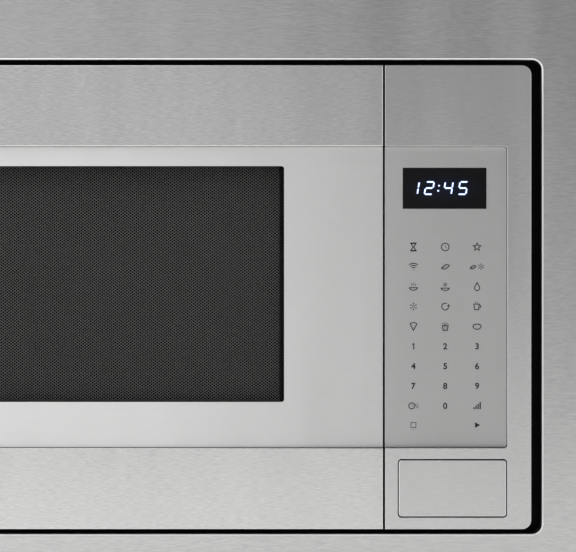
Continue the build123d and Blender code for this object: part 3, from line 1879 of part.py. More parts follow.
# Inner steel frame: base with the screen's hole, outer and inner walls of the choke, hinge ears
inner_w = cavity_w - 2 * choke_wall_inset
inner_h = cavity_h - 2 * choke_wall_inset
frame_w = frame_right - frame_left
frame_h = frame_top - frame_bottom
spring_z0 = upper_hook_z + hook_h + latch_edge
latch_y0 = frame_y + latch_edge_gap
latch_y1 = frame_back_y - loose
post_y = (latch_y0 + latch_y1) / 2
post_places = (upper_hook_z - upper_post_drop, lower_hook_z + lower_post_rise)
latch_stop_z = spring_z0 + latch_spring_l
with BuildPart() as door_inner_frame:
    block(frame_left, frame_right, frame_y, frame_back_y, frame_bottom, frame_top)
    block(
        frame_left + sheet_t,
        frame_right - sheet_t,
        frame_y + sheet_t,
        frame_back_y,
        frame_bottom + sheet_t,
        frame_top - sheet_t,
        mode=Mode.SUBTRACT,
    )
    block(
        cavity_x - inner_w / 2,
        cavity_x + inner_w / 2,
        frame_y,
        frame_back_y,
        cavity_z - inner_h / 2,
        cavity_z + inner_h / 2,
    )
    block(
        cavity_x - inner_w / 2 + sheet_t,
        cavity_x + inner_w / 2 - sheet_t,
        frame_y + sheet_t,
        frame_back_y,
        cavity_z - inner_h / 2 + sheet_t,
        cavity_z + inner_h / 2 - sheet_t,
        mode=Mode.SUBTRACT,
    )
    rounded_slab(
        window_mid_x,
        window_mid_z,
        window_w + 2 * screen_hole_gap,
        window_h + 2 * screen_hole_gap,
        window_corner_r,
        frame_y,
        frame_y + sheet_t,
        mode=Mode.SUBTRACT,
    )
    for ear_z0 in (frame_top - ear_t, frame_bottom):
        block(
            hinge_x - ear_front,
            hinge_x + ear_w / 2,
            hinge_y - ear_front,
            frame_y + sheet_t,
            ear_z0,
            ear_z0 + ear_t,
        )
        rod_z(hinge_x, hinge_y, ear_z0, ear_z0 + ear_t, bush_r + running, mode=Mode.SUBTRACT)
    for post_z in post_places:
        rod_x(hook_x0 - post_reach, frame_right - sheet_t, post_y, post_z, post_r)
    block(
        hook_x0 - stop_reach,
        frame_right - sheet_t,
        post_y - stop_half_w,
        post_y + stop_half_w,
        latch_stop_z,
        latch_stop_z + stop_t,
    )
save(door_inner_frame.part, "door_inner_frame")

# Perforated screen; its fine holes are a finish
with BuildPart() as door_screen:
    rounded_slab(
        window_mid_x,
        window_mid_z,
        window_w + 2 * screen_hole_gap + 2 * screen_lap,
        window_h + 2 * screen_hole_gap + 2 * screen_lap,
        window_corner_r,
        frame_y + sheet_t,
        frame_y + sheet_t + screen_t,
    )
save(door_screen.part, "door_screen")

# Choke cover: moulded ring over the choke channel, with slots for the hooks
cover_hole_w = inner_w - 2 * film_lap
cover_hole_h = inner_h - 2 * film_lap
with BuildPart() as choke_cover:
    with BuildSketch(front_plane(frame_back_y)):
        with Locations(((frame_left + frame_right) / 2, (frame_bottom + frame_top) / 2)):
            Rectangle(frame_w, frame_h)
        with Locations((cavity_x, cavity_z)):
            RectangleRounded(cover_hole_w, cover_hole_h, cavity_corner_r, mode=Mode.SUBTRACT)
    extrude(amount=-choke_t)
    for hook_z in (upper_hook_z, lower_hook_z):
        block(
            hook_x0 - loose,
            hook_x1 + loose,
            frame_back_y,
            door_back_y,
            hook_z - barb_h - loose,
            hook_z + hook_h + latch_lift + loose,
            mode=Mode.SUBTRACT,
        )
save(choke_cover.part, "choke_cover")

with BuildPart() as door_inner_film:
    block(
        cavity_x - inner_w / 2 + sheet_t + loose,
        cavity_x + inner_w / 2 - sheet_t - loose,
        frame_back_y - film_t,
        frame_back_y,
        cavity_z - inner_h / 2 + sheet_t + loose,
        cavity_z + inner_h / 2 - sheet_t - loose,
    )
save(door_inner_film.part, "door_inner_film")

# Hinge bushes in the frame's ears
with BuildPart() as hinge_bushes:
    for ear_z0, flange_z0 in (
        (frame_top - ear_t, frame_top),
        (frame_bottom, frame_bottom - bush_flange_t),
    ):
        rod_z(hinge_x, hinge_y, ear_z0, ear_z0 + ear_t, bush_r)
        rod_z(hinge_x, hinge_y, flange_z0, flange_z0 + bush_flange_t, bush_flange_r)
        rod_z(hinge_x, hinge_y, ear_z0 - ear_t, ear_z0 + 2 * ear_t, pin_r + running, mode=Mode.SUBTRACT)
save(hinge_bushes.part, "hinge_bushes")

# Latch plate with two hooks; it lifts on posts of the inner frame
latch_bottom = lower_hook_z - latch_edge
latch_top = spring_z0 - loose
post_slot = post_r + loose
with BuildPart() as latch_hooks:
    block(hook_x0, hook_x1, latch_y0, latch_y1, latch_bottom, latch_top)
    for hook_z in (upper_hook_z, lower_hook_z):
        with BuildSketch(Plane.YZ.offset(hook_x0)):
            with BuildLine():
                Polyline(
                    (latch_y0, hook_z),
                    (hook_tip_y - barb_l, hook_z),
                    (hook_tip_y - barb_l, hook_z - barb_h),
                    (hook_tip_y - tip_slope, hook_z - barb_h),
                    (hook_tip_y, hook_z),
                    (hook_tip_y, hook_z + hook_h),
                    (latch_y0, hook_z + hook_h),
                    close=True,
                )
            make_face()
        extrude(amount=latch_t)
    for post_z in post_places:
        with BuildSketch(Plane.YZ.offset(hook_x0)):
            with Locations((post_y, post_z - latch_lift / 2)):
                SlotOverall(latch_lift + 2 * post_slot, 2 * post_slot, rotation=90)
        extrude(amount=latch_t, mode=Mode.SUBTRACT)
save(latch_hooks.part, "latch_hooks")

with BuildPart() as latch_spring:
    coil(latch_x, post_y, spring_z0, latch_stop_z - loose, latch_spring_r)
save(latch_spring.part, "latch_spring")
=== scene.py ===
import json
import math
import bmesh
import bpy
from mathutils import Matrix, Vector


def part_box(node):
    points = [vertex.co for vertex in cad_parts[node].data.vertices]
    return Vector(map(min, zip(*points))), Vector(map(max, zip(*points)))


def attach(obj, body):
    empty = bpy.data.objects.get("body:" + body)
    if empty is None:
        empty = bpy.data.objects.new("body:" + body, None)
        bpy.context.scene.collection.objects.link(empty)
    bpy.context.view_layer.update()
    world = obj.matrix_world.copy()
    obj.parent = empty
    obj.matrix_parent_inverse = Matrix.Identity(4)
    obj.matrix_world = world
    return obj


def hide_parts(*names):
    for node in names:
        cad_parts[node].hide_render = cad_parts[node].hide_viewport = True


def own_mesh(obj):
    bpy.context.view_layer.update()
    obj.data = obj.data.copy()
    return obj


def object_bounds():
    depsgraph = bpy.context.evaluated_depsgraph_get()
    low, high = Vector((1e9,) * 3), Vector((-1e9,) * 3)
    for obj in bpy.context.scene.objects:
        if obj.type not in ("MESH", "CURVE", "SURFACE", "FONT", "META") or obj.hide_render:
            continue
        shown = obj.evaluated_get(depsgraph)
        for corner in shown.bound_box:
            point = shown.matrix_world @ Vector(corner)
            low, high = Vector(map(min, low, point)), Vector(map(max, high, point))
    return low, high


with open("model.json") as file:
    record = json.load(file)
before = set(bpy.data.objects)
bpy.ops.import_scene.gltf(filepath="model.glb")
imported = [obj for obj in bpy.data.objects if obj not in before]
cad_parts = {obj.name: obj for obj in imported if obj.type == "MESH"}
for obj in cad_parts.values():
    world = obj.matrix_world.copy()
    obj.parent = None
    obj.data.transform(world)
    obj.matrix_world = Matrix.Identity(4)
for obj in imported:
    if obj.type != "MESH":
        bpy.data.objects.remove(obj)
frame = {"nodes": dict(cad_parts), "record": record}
nodes = frame["nodes"]
cad_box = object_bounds()
MM = 0.001


# ---------- Materials ----------

def grey(level):
    """Linear value of a grey written as 0 to 255."""
    c = level / 255
    return c / 12.92 if c <= 0.04045 else ((c + 0.055) / 1.055) ** 2.4


def rgb(r, g, b):
    return (grey(r), grey(g), grey(b), 1.0)


class Finish:
    """A Principled material whose detail comes from procedural nodes in object coordinates."""

    def __init__(self, name, color=(0.8, 0.8, 0.8, 1), metallic=0.0, roughness=0.5, **sockets):
        self.mat = bpy.data.materials.new(name)
        self.mat.use_nodes = True
        self.tree = self.mat.node_tree
        self.shader = self.tree.nodes["Principled BSDF"]
        self.shader.inputs["Base Color"].default_value = color
        self.shader.inputs["Metallic"].default_value = metallic
        self.shader.inputs["Roughness"].default_value = roughness
        for key, value in sockets.items():
            self.shader.inputs[key.replace("_", " ")].default_value = value
        places = self.add("ShaderNodeTexCoord")
        self.coords, self.facing = places.outputs["Object"], places.outputs["Normal"]
        self.normal = None

    def add(self, kind, **props):
        node = self.tree.nodes.new(kind)
        for key, value in props.items():
            setattr(node, key, value)
        return node

    def link(self, a, b):
        self.tree.links.new(a, b)

    def scaled(self, scale, rotation=(0, 0, 0)):
        node = self.add("ShaderNodeMapping")
        node.inputs["Scale"].default_value = scale
        node.inputs["Rotation"].default_value = rotation
        self.link(self.coords, node.inputs["Vector"])
        return node.outputs["Vector"]

    def noise(self, scale, detail=2.0, rough=0.5):
        """Noise whose number of features per metre along x, y and z is scale."""
        node = self.add("ShaderNodeTexNoise")
        node.inputs["Scale"].default_value = 1.0
        node.inputs["Detail"].default_value = detail
        node.inputs["Roughness"].default_value = rough
        self.link(self.scaled(scale), node.inputs["Vector"])
        return node.outputs["Fac"]

    def cells(self, scale, output="Distance", randomness=1.0):
        """Voronoi cells, with scale as in noise."""
        node = self.add("ShaderNodeTexVoronoi")
        node.inputs["Scale"].default_value = 1.0
        node.inputs["Randomness"].default_value = randomness
        self.link(self.scaled(scale), node.inputs["Vector"])
        return node.outputs[output]

    def remap(self, value, lo, hi, to_lo, to_hi):
        node = self.add("ShaderNodeMapRange")
        for key, number in (("From Min", lo), ("From Max", hi), ("To Min", to_lo), ("To Max", to_hi)):
            node.inputs[key].default_value = number
        self.link(value, node.inputs["Value"])
        return node.outputs["Result"]

    def math(self, operation, a, b):
        node = self.add("ShaderNodeMath", operation=operation)
        for socket, value in zip(node.inputs, (a, b)):
            if isinstance(value, (int, float)):
                socket.default_value = value
            else:
                self.link(value, socket)
        return node.outputs["Value"]

    def blend(self, factor, a, b):
        """Colour between a and b by factor."""
        node = self.add("ShaderNodeMix", data_type="RGBA")
        self.link(factor, node.inputs[0])
        for socket, value in ((node.inputs[6], a), (node.inputs[7], b)):
            if isinstance(value, tuple):
                socket.default_value = value
            else:
                self.link(value, socket)
        return node.outputs[2]

    def spread(self, value, to_lo=0.0, to_hi=1.0):
        """Stretches a noise, which stays near its middle, over the range to_lo to to_hi."""
        return self.remap(value, 0.3, 0.7, to_lo, to_hi)

    def color(self, socket):
        self.link(socket, self.shader.inputs["Base Color"])

    def two_tone(self, value, a, b):
        self.color(self.blend(self.spread(value), a, b))

    def rough(self, value, lo, hi):
        self.link(self.spread(value, lo, hi), self.shader.inputs["Roughness"])

    def bump(self, height, strength, distance):
        """Bump over what is there already; distance in metres."""
        node = self.add("ShaderNodeBump")
        node.inputs["Strength"].default_value = strength
        node.inputs["Distance"].default_value = distance
        self.link(height, node.inputs["Height"])
        if self.normal:
            self.link(self.normal, node.inputs["Normal"])
        self.normal = node.outputs["Normal"]
        self.link(self.normal, self.shader.inputs["Normal"])

    def axes(self, vector):
        """The three components of a vector."""
        node = self.add("ShaderNodeSeparateXYZ")
        self.link(vector, node.inputs["Vector"])
        return node.outputs["X"], node.outputs["Y"], node.outputs["Z"]

    def rounded_edge(self):
        """1 on the rounded edges of the front that don't face up, 0 on flat faces; it masks the painted
        edge highlight of the steel.
        """
        _, ny, nz = self.axes(self.facing)
        ny = self.math("ABSOLUTE", ny, 0)
        turned = self.math("MINIMUM", self.remap(ny, 0.05, 0.3, 0, 1), self.remap(ny, 0.9, 0.985, 1, 0))
        return self.math("MULTIPLY", turned, self.remap(nz, 0.0, 0.3, 1, 0))

    def brushed_across(self):
        """Stretches the gloss at right angles to the horizontal brush lines."""
        node = self.add("ShaderNodeTangent", direction_type="RADIAL", axis="Z")
        self.link(node.outputs["Tangent"], self.shader.inputs["Tangent"])
        self.shader.inputs["Anisotropic Rotation"].default_value = 0.25


# Near-white colour of the painted highlight on the steel's rounded edges
PAINTED_EDGE_HIGHLIGHT = (0.9, 0.9, 0.895, 1)
CLOUD_SHARE = 0.2


def steel(name, base, contrast, roughness, anisotropic, streak=(170, 2100, 2100), long_share=0.04):
    """Brushed stainless steel: fine horizontal lines, longer soft bands and faint clouds, and a painted
    highlight on the rounded edges that don't face up.

    base is the linear tone and contrast the share by which the lines change it.
    """
    f = Finish(name, metallic=1.0, Anisotropic=anisotropic)
    fine = f.noise(streak, detail=4, rough=0.7)
    long = f.noise((12, 900, 900), detail=2)
    cloud = f.noise((28, 28, 5), detail=2)
    fine_share = 1 - CLOUD_SHARE - long_share
    lines = f.math("ADD", f.math("MULTIPLY", fine, fine_share), f.math("MULTIPLY", long, long_share))
    lines = f.math("ADD", lines, f.math("MULTIPLY", cloud, CLOUD_SHARE))
    lo, hi = base * (1 - contrast), base * (1 + contrast)
    flat = f.blend(f.spread(lines), (lo, lo, lo * 1.005, 1), (hi, hi * 0.998, hi * 0.994, 1))
    # Painted highlight: rounded edges that don't face up are coloured near-white
    edge = f.rounded_edge()
    f.color(f.blend(edge, flat, PAINTED_EDGE_HIGHLIGHT))
    gloss = f.spread(cloud, roughness - 0.02, roughness + 0.03)
    f.link(f.math("MULTIPLY", gloss, f.remap(edge, 0, 1, 1, 0.6)), f.shader.inputs["Roughness"])
    f.bump(fine, 0.06, 0.00005)
    f.brushed_across()
    return f


def shaded(color, share):
    """The same colour, darker or lighter by a share of itself."""
    return tuple(min(1, c * (1 + share)) for c in color[:3]) + (1,)


def paint(name, color, roughness):
    """Sprayed paint: slight clouds of tone, and a fine orange peel."""
    f = Finish(name)
    f.two_tone(f.noise((14, 14, 14), detail=3), shaded(color, -0.12), shaded(color, 0.12))
    f.rough(f.noise((60, 60, 60), detail=2), roughness - 0.05, roughness + 0.06)
    f.bump(f.noise((900, 900, 900), detail=2), 0.12, 0.00008)
    return f


def moulded(name, color, roughness, grain=0.25):
    """Moulded plastic: a fine spark-eroded grain and a slight change of tone over the piece."""
    f = Finish(name)
    f.two_tone(f.noise((18, 18, 18), detail=2), shaded(color, -0.06), shaded(color, 0.06))
    f.rough(f.noise((120, 120, 120), detail=3), roughness - 0.06, roughness + 0.06)
    f.bump(f.noise((2600, 2600, 2600), detail=2, rough=0.7), grain, 0.00005)
    return f


# Steel of the trim, the bands and the control fascia, and the satin panels between them
trim_steel = steel("trim_steel", 0.56, 0.20, 0.24, 0.45)
band_steel = steel("band_steel", 0.62, 0.22, 0.24, 0.45)
fascia_steel = steel("fascia_steel", 0.58, 0.15, 0.24, 0.5)
button_steel = steel("button_steel", 0.57, 0.13, 0.24, 0.5)
panel_steel = steel("panel_steel", 0.77, 0.02, 0.36, 1.0, streak=(120, 900, 900), long_share=0.02)
keypad_steel = steel("keypad_steel", 0.62, 0.02, 0.36, 1.0, streak=(120, 900, 900), long_share=0.02)

black_paint = paint("black_paint", rgb(26, 26, 27), 0.42)

# Surround: satin black wall with a lip at its back; its colour goes near-black with depth, painted
# shade in the recess
surround_paint = Finish("surround_paint", Specular_IOR_Level=0.07)
surround_depth = surround_paint.axes(surround_paint.coords)[1]
lip_y = 2.6 * MM
recess_painted_shade = surround_paint.remap(surround_depth, 0.0, lip_y, 0.0, 1.0)
# Painted shade: black at the front of the wall, near-black at the lip
surround_paint.color(surround_paint.blend(recess_painted_shade, rgb(46, 46, 47), rgb(4, 4, 4)))
surround_paint.rough(surround_paint.noise((60, 60, 60), detail=2), 0.36, 0.46)
surround_paint.bump(surround_paint.noise((900, 900, 900), detail=2), 0.12, 0.00008)

door_paint = paint("door_paint", rgb(40, 41, 42), 0.38)

# Screen paint: a mid grey with a fine change of tone
screen_paint = Finish("screen_paint", roughness=0.5)
screen_tone = screen_paint.noise((300, 300, 300), detail=3)
screen_paint.two_tone(screen_tone, rgb(92, 92, 92), rgb(107, 107, 106))
screen_paint.rough(screen_tone, 0.42, 0.58)
screen_paint.bump(screen_paint.noise((1500, 1500, 1500)), 0.2, 0.00005)

# Zinc-coated sheet: spangles a few millimetres across, each with its own tone and gloss
galvanised = Finish("galvanised", metallic=0.9)
spangle = galvanised.add("ShaderNodeSeparateColor")
galvanised.link(galvanised.cells((190, 190, 190), "Color"), spangle.inputs["Color"])
zinc_tone = galvanised.math("ADD", galvanised.math("MULTIPLY", spangle.outputs["Red"], 0.6),
                            galvanised.math("MULTIPLY", galvanised.noise((25, 25, 25), detail=3), 0.4))
galvanised.color(galvanised.blend(zinc_tone, rgb(158, 161, 164), rgb(192, 195, 198)))
galvanised.rough(spangle.outputs["Green"], 0.36, 0.48)
galvanised.bump(spangle.outputs["Blue"], 0.08, 0.00004)

# Light grey enamel with fine specks that are a little darker
enamel = Finish("cavity_enamel", roughness=0.28)
speck_mask = enamel.remap(enamel.cells((700, 700, 700)), 0.10, 0.22, 1.0, 0.0)
speck_pick = enamel.remap(enamel.noise((90, 90, 90), detail=2), 0.45, 0.6, 0.0, 1.0)
enamel_base = enamel.blend(enamel.spread(enamel.noise((9, 9, 9), detail=2)),
                           rgb(198, 200, 201), rgb(203, 205, 205))
specks = enamel.math("MULTIPLY", speck_mask, speck_pick)
enamel.color(enamel.blend(specks, enamel_base, rgb(186, 188, 189)))
enamel.rough(enamel.noise((40, 40, 40)), 0.24, 0.34)
enamel.bump(enamel.noise((350, 350, 350), detail=3), 0.04, 0.00006)

black_plastic = moulded("black_plastic", rgb(34, 34, 35), 0.5)
# Near-black carrier seen only through the gaps: painted shade between the door and the controls
base_plastic_painted_shade = moulded("base_plastic_painted_shade", rgb(9, 9, 9), 0.7)
base_plastic_painted_shade.shader.inputs["Specular IOR Level"].default_value = 0.15
grey_plastic = moulded("grey_plastic", rgb(150, 153, 155), 0.5)
white_plastic = moulded("white_plastic", rgb(222, 221, 214), 0.42, grain=0.15)
red_plastic = moulded("red_plastic", rgb(172, 46, 36), 0.4)
rubber = moulded("rubber", rgb(42, 42, 42), 0.75, grain=0.5)

# Mica sheet: flat flakes in layers
mica = Finish("mica", roughness=0.4)
flake = mica.cells((240, 240, 120))
mica.color(mica.blend(mica.remap(flake, 0.1, 0.8, 0, 1), rgb(206, 192, 158), rgb(168, 150, 116)))
mica.rough(mica.noise((80, 80, 80), detail=3), 0.3, 0.5)
mica.bump(flake, 0.15, 0.0002)

# Circuit board: solder mask with lighter copper runs and solder spots
board = Finish("circuit_board", roughness=0.35)
run_cells = board.add("ShaderNodeTexBrick")
run_cells.inputs["Color1"].default_value = rgb(22, 84, 48)
run_cells.inputs["Color2"].default_value = rgb(30, 98, 56)
run_cells.inputs["Mortar"].default_value = rgb(64, 132, 76)
run_cells.inputs["Scale"].default_value = 1.0
run_cells.inputs["Mortar Size"].default_value = 0.06
run_cells.inputs["Brick Width"].default_value = 3.4
run_cells.inputs["Row Height"].default_value = 1.0
board.link(board.scaled((420, 420, 420), (math.radians(90), 0, 0)), run_cells.inputs["Vector"])
solder = board.remap(board.cells((230, 230, 230)), 0.12, 0.16, 1.0, 0.0)
board.color(board.blend(solder, run_cells.outputs["Color"], rgb(184, 186, 186)))
board.bump(solder, 0.3, 0.0003)

# Transformer: laminated dark core with a brown varnish
ferrite = Finish("ferrite", roughness=0.5, metallic=0.3)
lamina = ferrite.noise((8, 1300, 8), detail=1)
ferrite.color(ferrite.blend(ferrite.remap(lamina, 0.35, 0.65, 0, 1), rgb(52, 46, 42), rgb(84, 72, 62)))
ferrite.bump(lamina, 0.3, 0.0002)

# Bare metals, with the marks of drawing, rolling and turning
heat_sink = Finish("heat_sink", metallic=1.0, roughness=0.35)
drawn = heat_sink.noise((900, 12, 900), detail=3)
heat_sink.two_tone(drawn, rgb(188, 190, 193), rgb(214, 216, 218))
heat_sink.rough(drawn, 0.28, 0.42)
heat_sink.bump(drawn, 0.12, 0.0001)

motor_steel = Finish("motor_steel", metallic=1.0, roughness=0.4)
motor_tone = motor_steel.noise((60, 60, 60), detail=4)
motor_steel.two_tone(motor_tone, rgb(158, 158, 152), rgb(188, 187, 180))
motor_steel.rough(motor_tone, 0.3, 0.5)
motor_steel.bump(motor_steel.noise((500, 500, 500)), 0.08, 0.0001)

screw_steel = Finish("screw_steel", metallic=1.0, roughness=0.3)
screw_tone = screw_steel.noise((350, 350, 350), detail=3)
screw_steel.two_tone(screw_tone, rgb(170, 171, 173), rgb(206, 207, 208))
screw_steel.rough(screw_tone, 0.22, 0.38)
screw_steel.bump(screw_tone, 0.1, 0.00008)

spring_steel = Finish("spring_steel", metallic=1.0, roughness=0.22)
wire_tone = spring_steel.noise((200, 200, 900), detail=2)
spring_steel.two_tone(wire_tone, rgb(176, 177, 180), rgb(210, 211, 213))
spring_steel.rough(wire_tone, 0.16, 0.3)

# Smoked display window with a faint blue glow round the lit figures
glow_centre, glow_half_w, glow_half_h = Vector((238.7, -25.0, 81.6)) * MM, 31 * MM, 12 * MM
smoked = Finish("smoked_plastic", color=rgb(14, 14, 16), roughness=0.12, Specular_IOR_Level=0.12)
smoked.rough(smoked.noise((70, 70, 70), detail=2), 0.1, 0.16)
glow_place = smoked.add("ShaderNodeMapping")
glow_place.inputs["Location"].default_value = -glow_centre
smoked.link(smoked.coords, glow_place.inputs["Vector"])
glow_scale = smoked.add("ShaderNodeMapping")
glow_scale.inputs["Scale"].default_value = (1 / glow_half_w, 0, 1 / glow_half_h)
smoked.link(glow_place.outputs["Vector"], glow_scale.inputs["Vector"])
glow_length = smoked.add("ShaderNodeVectorMath", operation="LENGTH")
smoked.link(glow_scale.outputs["Vector"], glow_length.inputs[0])
glow = smoked.remap(glow_length.outputs["Value"], 0.25, 1.0, 1.0, 0.0)
glow_color = smoked.blend(glow, (0.0, 0.0, 0.0, 1), (0.0015, 0.003, 0.010, 1))
smoked.link(glow_color, smoked.shader.inputs["Emission Color"])
smoked.shader.inputs["Emission Strength"].default_value = 1.0

# Lit figures, and the dim halo round each bar
figure_light = Finish("figure_light", color=rgb(214, 230, 250), roughness=0.4,
                      Emission_Color=(0.60, 0.72, 1.0, 1), Emission_Strength=0.95)
figure_tone = figure_light.noise((260, 260, 260), detail=2)
figure_light.color(figure_light.blend(figure_tone, rgb(200, 220, 250), rgb(226, 238, 255)))
halo_light = Finish("halo_light", color=rgb(14, 16, 26), roughness=0.3, Specular_IOR_Level=0.12,
                    Emission_Color=(0.08, 0.14, 0.55, 1), Emission_Strength=0.28)
halo_tone = halo_light.noise((260, 260, 260), detail=2)
halo_light.color(halo_light.blend(halo_tone, rgb(12, 14, 24), rgb(17, 19, 30)))

printed = Finish("printed_marks", roughness=0.55)
printed_tone = printed.noise((900, 900, 900), detail=2)
printed.two_tone(printed_tone, rgb(9, 9, 10), rgb(16, 16, 17))
printed.bump(printed_tone, 0.1, 0.00002)


def clear_sheet(name, tint, facing, edge, roughness=0.03):
    """Thin clear sheet, seen through less at a slant: facing and edge are its two opacities."""
    f = Finish(name, color=tint, roughness=roughness, Specular_IOR_Level=0.07)
    slant = f.add("ShaderNodeLayerWeight")
    slant.inputs["Blend"].default_value = 0.35
    f.link(f.remap(slant.outputs["Facing"], 0.0, 1.0, facing, edge), f.shader.inputs["Alpha"])
    f.rough(f.noise((30, 30, 30), detail=2), roughness, roughness + 0.03)
    f.mat.surface_render_method = "BLENDED"
    return f


window_glass = clear_sheet("window_glass", rgb(10, 11, 11), 0.12, 0.6)
# Nearly opaque black film: painted shade that keeps the screen's holes dark
window_film = clear_sheet("window_film", rgb(7, 7, 7), 0.8, 0.95)
border_black = paint("border_black", rgb(14, 14, 15), 0.5)
border_black.shader.inputs["Specular IOR Level"].default_value = 0.15

# Thick glass
bulb_glass = Finish("bulb_glass", color=rgb(244, 238, 220), roughness=0.25,
                    Transmission_Weight=0.6, IOR=1.45)
bulb_glass.rough(bulb_glass.noise((90, 90, 90), detail=2), 0.2, 0.35)
bulb_glass.bump(bulb_glass.noise((600, 600, 600)), 0.1, 0.0001)

tray_glass = Finish("tray_glass", color=rgb(232, 240, 238), roughness=0.04,
                    Transmission_Weight=0.92, IOR=1.47)
tray_glass.rough(tray_glass.noise((50, 50, 50), detail=2), 0.02, 0.08)
tray_glass.bump(tray_glass.noise((35, 35, 35), detail=1), 0.1, 0.0004)

# A node's own finish comes before that of its material slot
by_slot = {
    "black_paint": black_paint, "screen_paint": screen_paint, "galvanised": galvanised,
    "cavity_enamel": enamel, "rubber": rubber, "black_plastic": black_plastic,
    "grey_plastic": grey_plastic, "white_plastic": white_plastic, "red_plastic": red_plastic,
    "mica": mica, "circuit_board": board, "ferrite": ferrite, "heat_sink": heat_sink,
    "motor_steel": motor_steel, "screw_steel": screw_steel, "spring_steel": spring_steel,
    "smoked_plastic": smoked, "window_glass": window_glass, "window_film": window_film,
    "bulb_glass": bulb_glass, "tray_glass": tray_glass,
}
by_node = {
    "trim_frame": trim_steel, "door_band_top": band_steel, "door_band_bottom": band_steel,
    "control_fascia": fascia_steel, "door_button": button_steel, "door_front_panel": panel_steel,
    "keypad_panel": keypad_steel, "door_inner_frame": door_paint, "trim_surround": surround_paint,
    "control_base": base_plastic_painted_shade,
}
for part in frame["record"]["subparts"]:
    name = part["node"]
    finish = by_node.get(name) or by_slot[part["material_slot"]]
    mesh = nodes[name].data
    mesh.materials.clear()
    mesh.materials.append(finish.mat)


# ---------- Meshes ----------

def put(name, data):
    """A new object in the scene."""
    obj = bpy.data.objects.new(name, data)
    bpy.context.scene.collection.objects.link(obj)
    return obj


def piece(name, verts, faces, finish, body):
    """A mesh that rides on a body."""
    mesh = bpy.data.meshes.new(name)
    mesh.from_pydata(verts, [], faces)
    mesh.materials.append(finish.mat)
    obj = put(name, mesh)
    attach(obj, body)
    return obj


def ring_slab(outer, inner, y0, y1):
    """Closed flat frame between two rectangles (x0, z0, x1, z1), from y0 back to y1."""
    verts = []
    for y in (y0, y1):
        for x0, z0, x1, z1 in (outer, inner):
            verts += [(x0, y, z0), (x1, y, z0), (x1, y, z1), (x0, y, z1)]
    faces = []
    for i in range(4):
        j = (i + 1) % 4
        faces.append((i, j, 4 + j, 4 + i))
        faces.append((8 + i, 12 + i, 12 + j, 8 + j))
        faces.append((i, 8 + i, 8 + j, j))
        faces.append((4 + i, 4 + j, 12 + j, 12 + i))
    return verts, faces


# Door screen: staggered six-sided holes in a painted sheet, with a plain margin behind the
# window's edge. Each cell of the pattern is a diamond with its hole.
window_lo = Vector((-229.2, -25.0, -78.4)) * MM
window_hi = Vector((118.7, -25.0, 98.0)) * MM
screen_lo, screen_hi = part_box("door_screen")
pitch_x, pitch_z, hole_r = 2.865 * MM, 1.083 * MM, 0.77 * MM
field_x0, field_x1 = window_lo.x + 3 * MM, window_hi.x - 3 * MM
field_z0, field_z1 = window_lo.z + 0.75 * MM, window_hi.z - 0.75 * MM
hole = [(hole_r * math.cos(math.radians(60 * k)), hole_r * math.sin(math.radians(60 * k)))
        for k in range(6)]
diamond = [(pitch_x / 2, 0), (0, pitch_z), (-pitch_x / 2, 0), (0, -pitch_z)]
cell_faces = [(0, 1, 5, 4), (1, 6, 5), (1, 2, 7, 6), (2, 3, 8, 7), (3, 9, 8), (3, 0, 4, 9)]
field_verts, field_faces = [], []
row_count = int((field_z1 - field_z0) / pitch_z) + 1
column_count = int((field_x1 - field_x0) / pitch_x) + 1
for row in range(row_count):
    z = field_z0 + row * pitch_z
    for column in range(column_count):
        x = field_x0 + (column + 0.5 * (row % 2)) * pitch_x
        if x > field_x1:
            continue
        start = len(field_verts)
        field_verts += [(x + dx, screen_lo.y, z + dz) for dx, dz in diamond + hole]
        field_faces += [tuple(start + k for k in face) for face in cell_faces]
margin = ring_slab((screen_lo.x, screen_lo.z, screen_hi.x, screen_hi.z),
                   (field_x0, field_z0, field_x1, field_z1), screen_lo.y + 0.05 * MM, screen_hi.y)
start = len(field_verts)
field_verts += margin[0]
field_faces += [tuple(start + k for k in face) for face in margin[1]]
screen = piece("perforated_screen", field_verts, field_faces, screen_paint, "door")
merge = bmesh.new()
merge.from_mesh(screen.data)
bmesh.ops.remove_doubles(merge, verts=merge.verts, dist=0.00001)
merge.to_mesh(screen.data)
merge.free()
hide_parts("door_screen")

# Latch spring: its coil as a mesh of its own that rides on the door
coil = nodes["latch_spring"]
latch_coil = piece("latch_coil", [tuple(coil.matrix_world @ v.co) for v in coil.data.vertices],
                   [tuple(p.vertices) for p in coil.data.polygons], spring_steel, "door")
latch_coil.data.shade_smooth()
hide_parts("latch_spring")
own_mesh(latch_coil)

# Black border printed on the window's back
glass_lo, glass_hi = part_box("door_glass")
border_inset = 1 * MM
border_edge = (glass_lo.x + border_inset, glass_lo.z + border_inset,
               glass_hi.x - border_inset, glass_hi.z - border_inset)
border_verts, border_faces = ring_slab(border_edge, (field_x0, field_z0, field_x1, field_z1),
                                       glass_hi.y + 0.01 * MM, glass_hi.y + 0.06 * MM)
piece("window_border", border_verts, border_faces, border_black, "door")


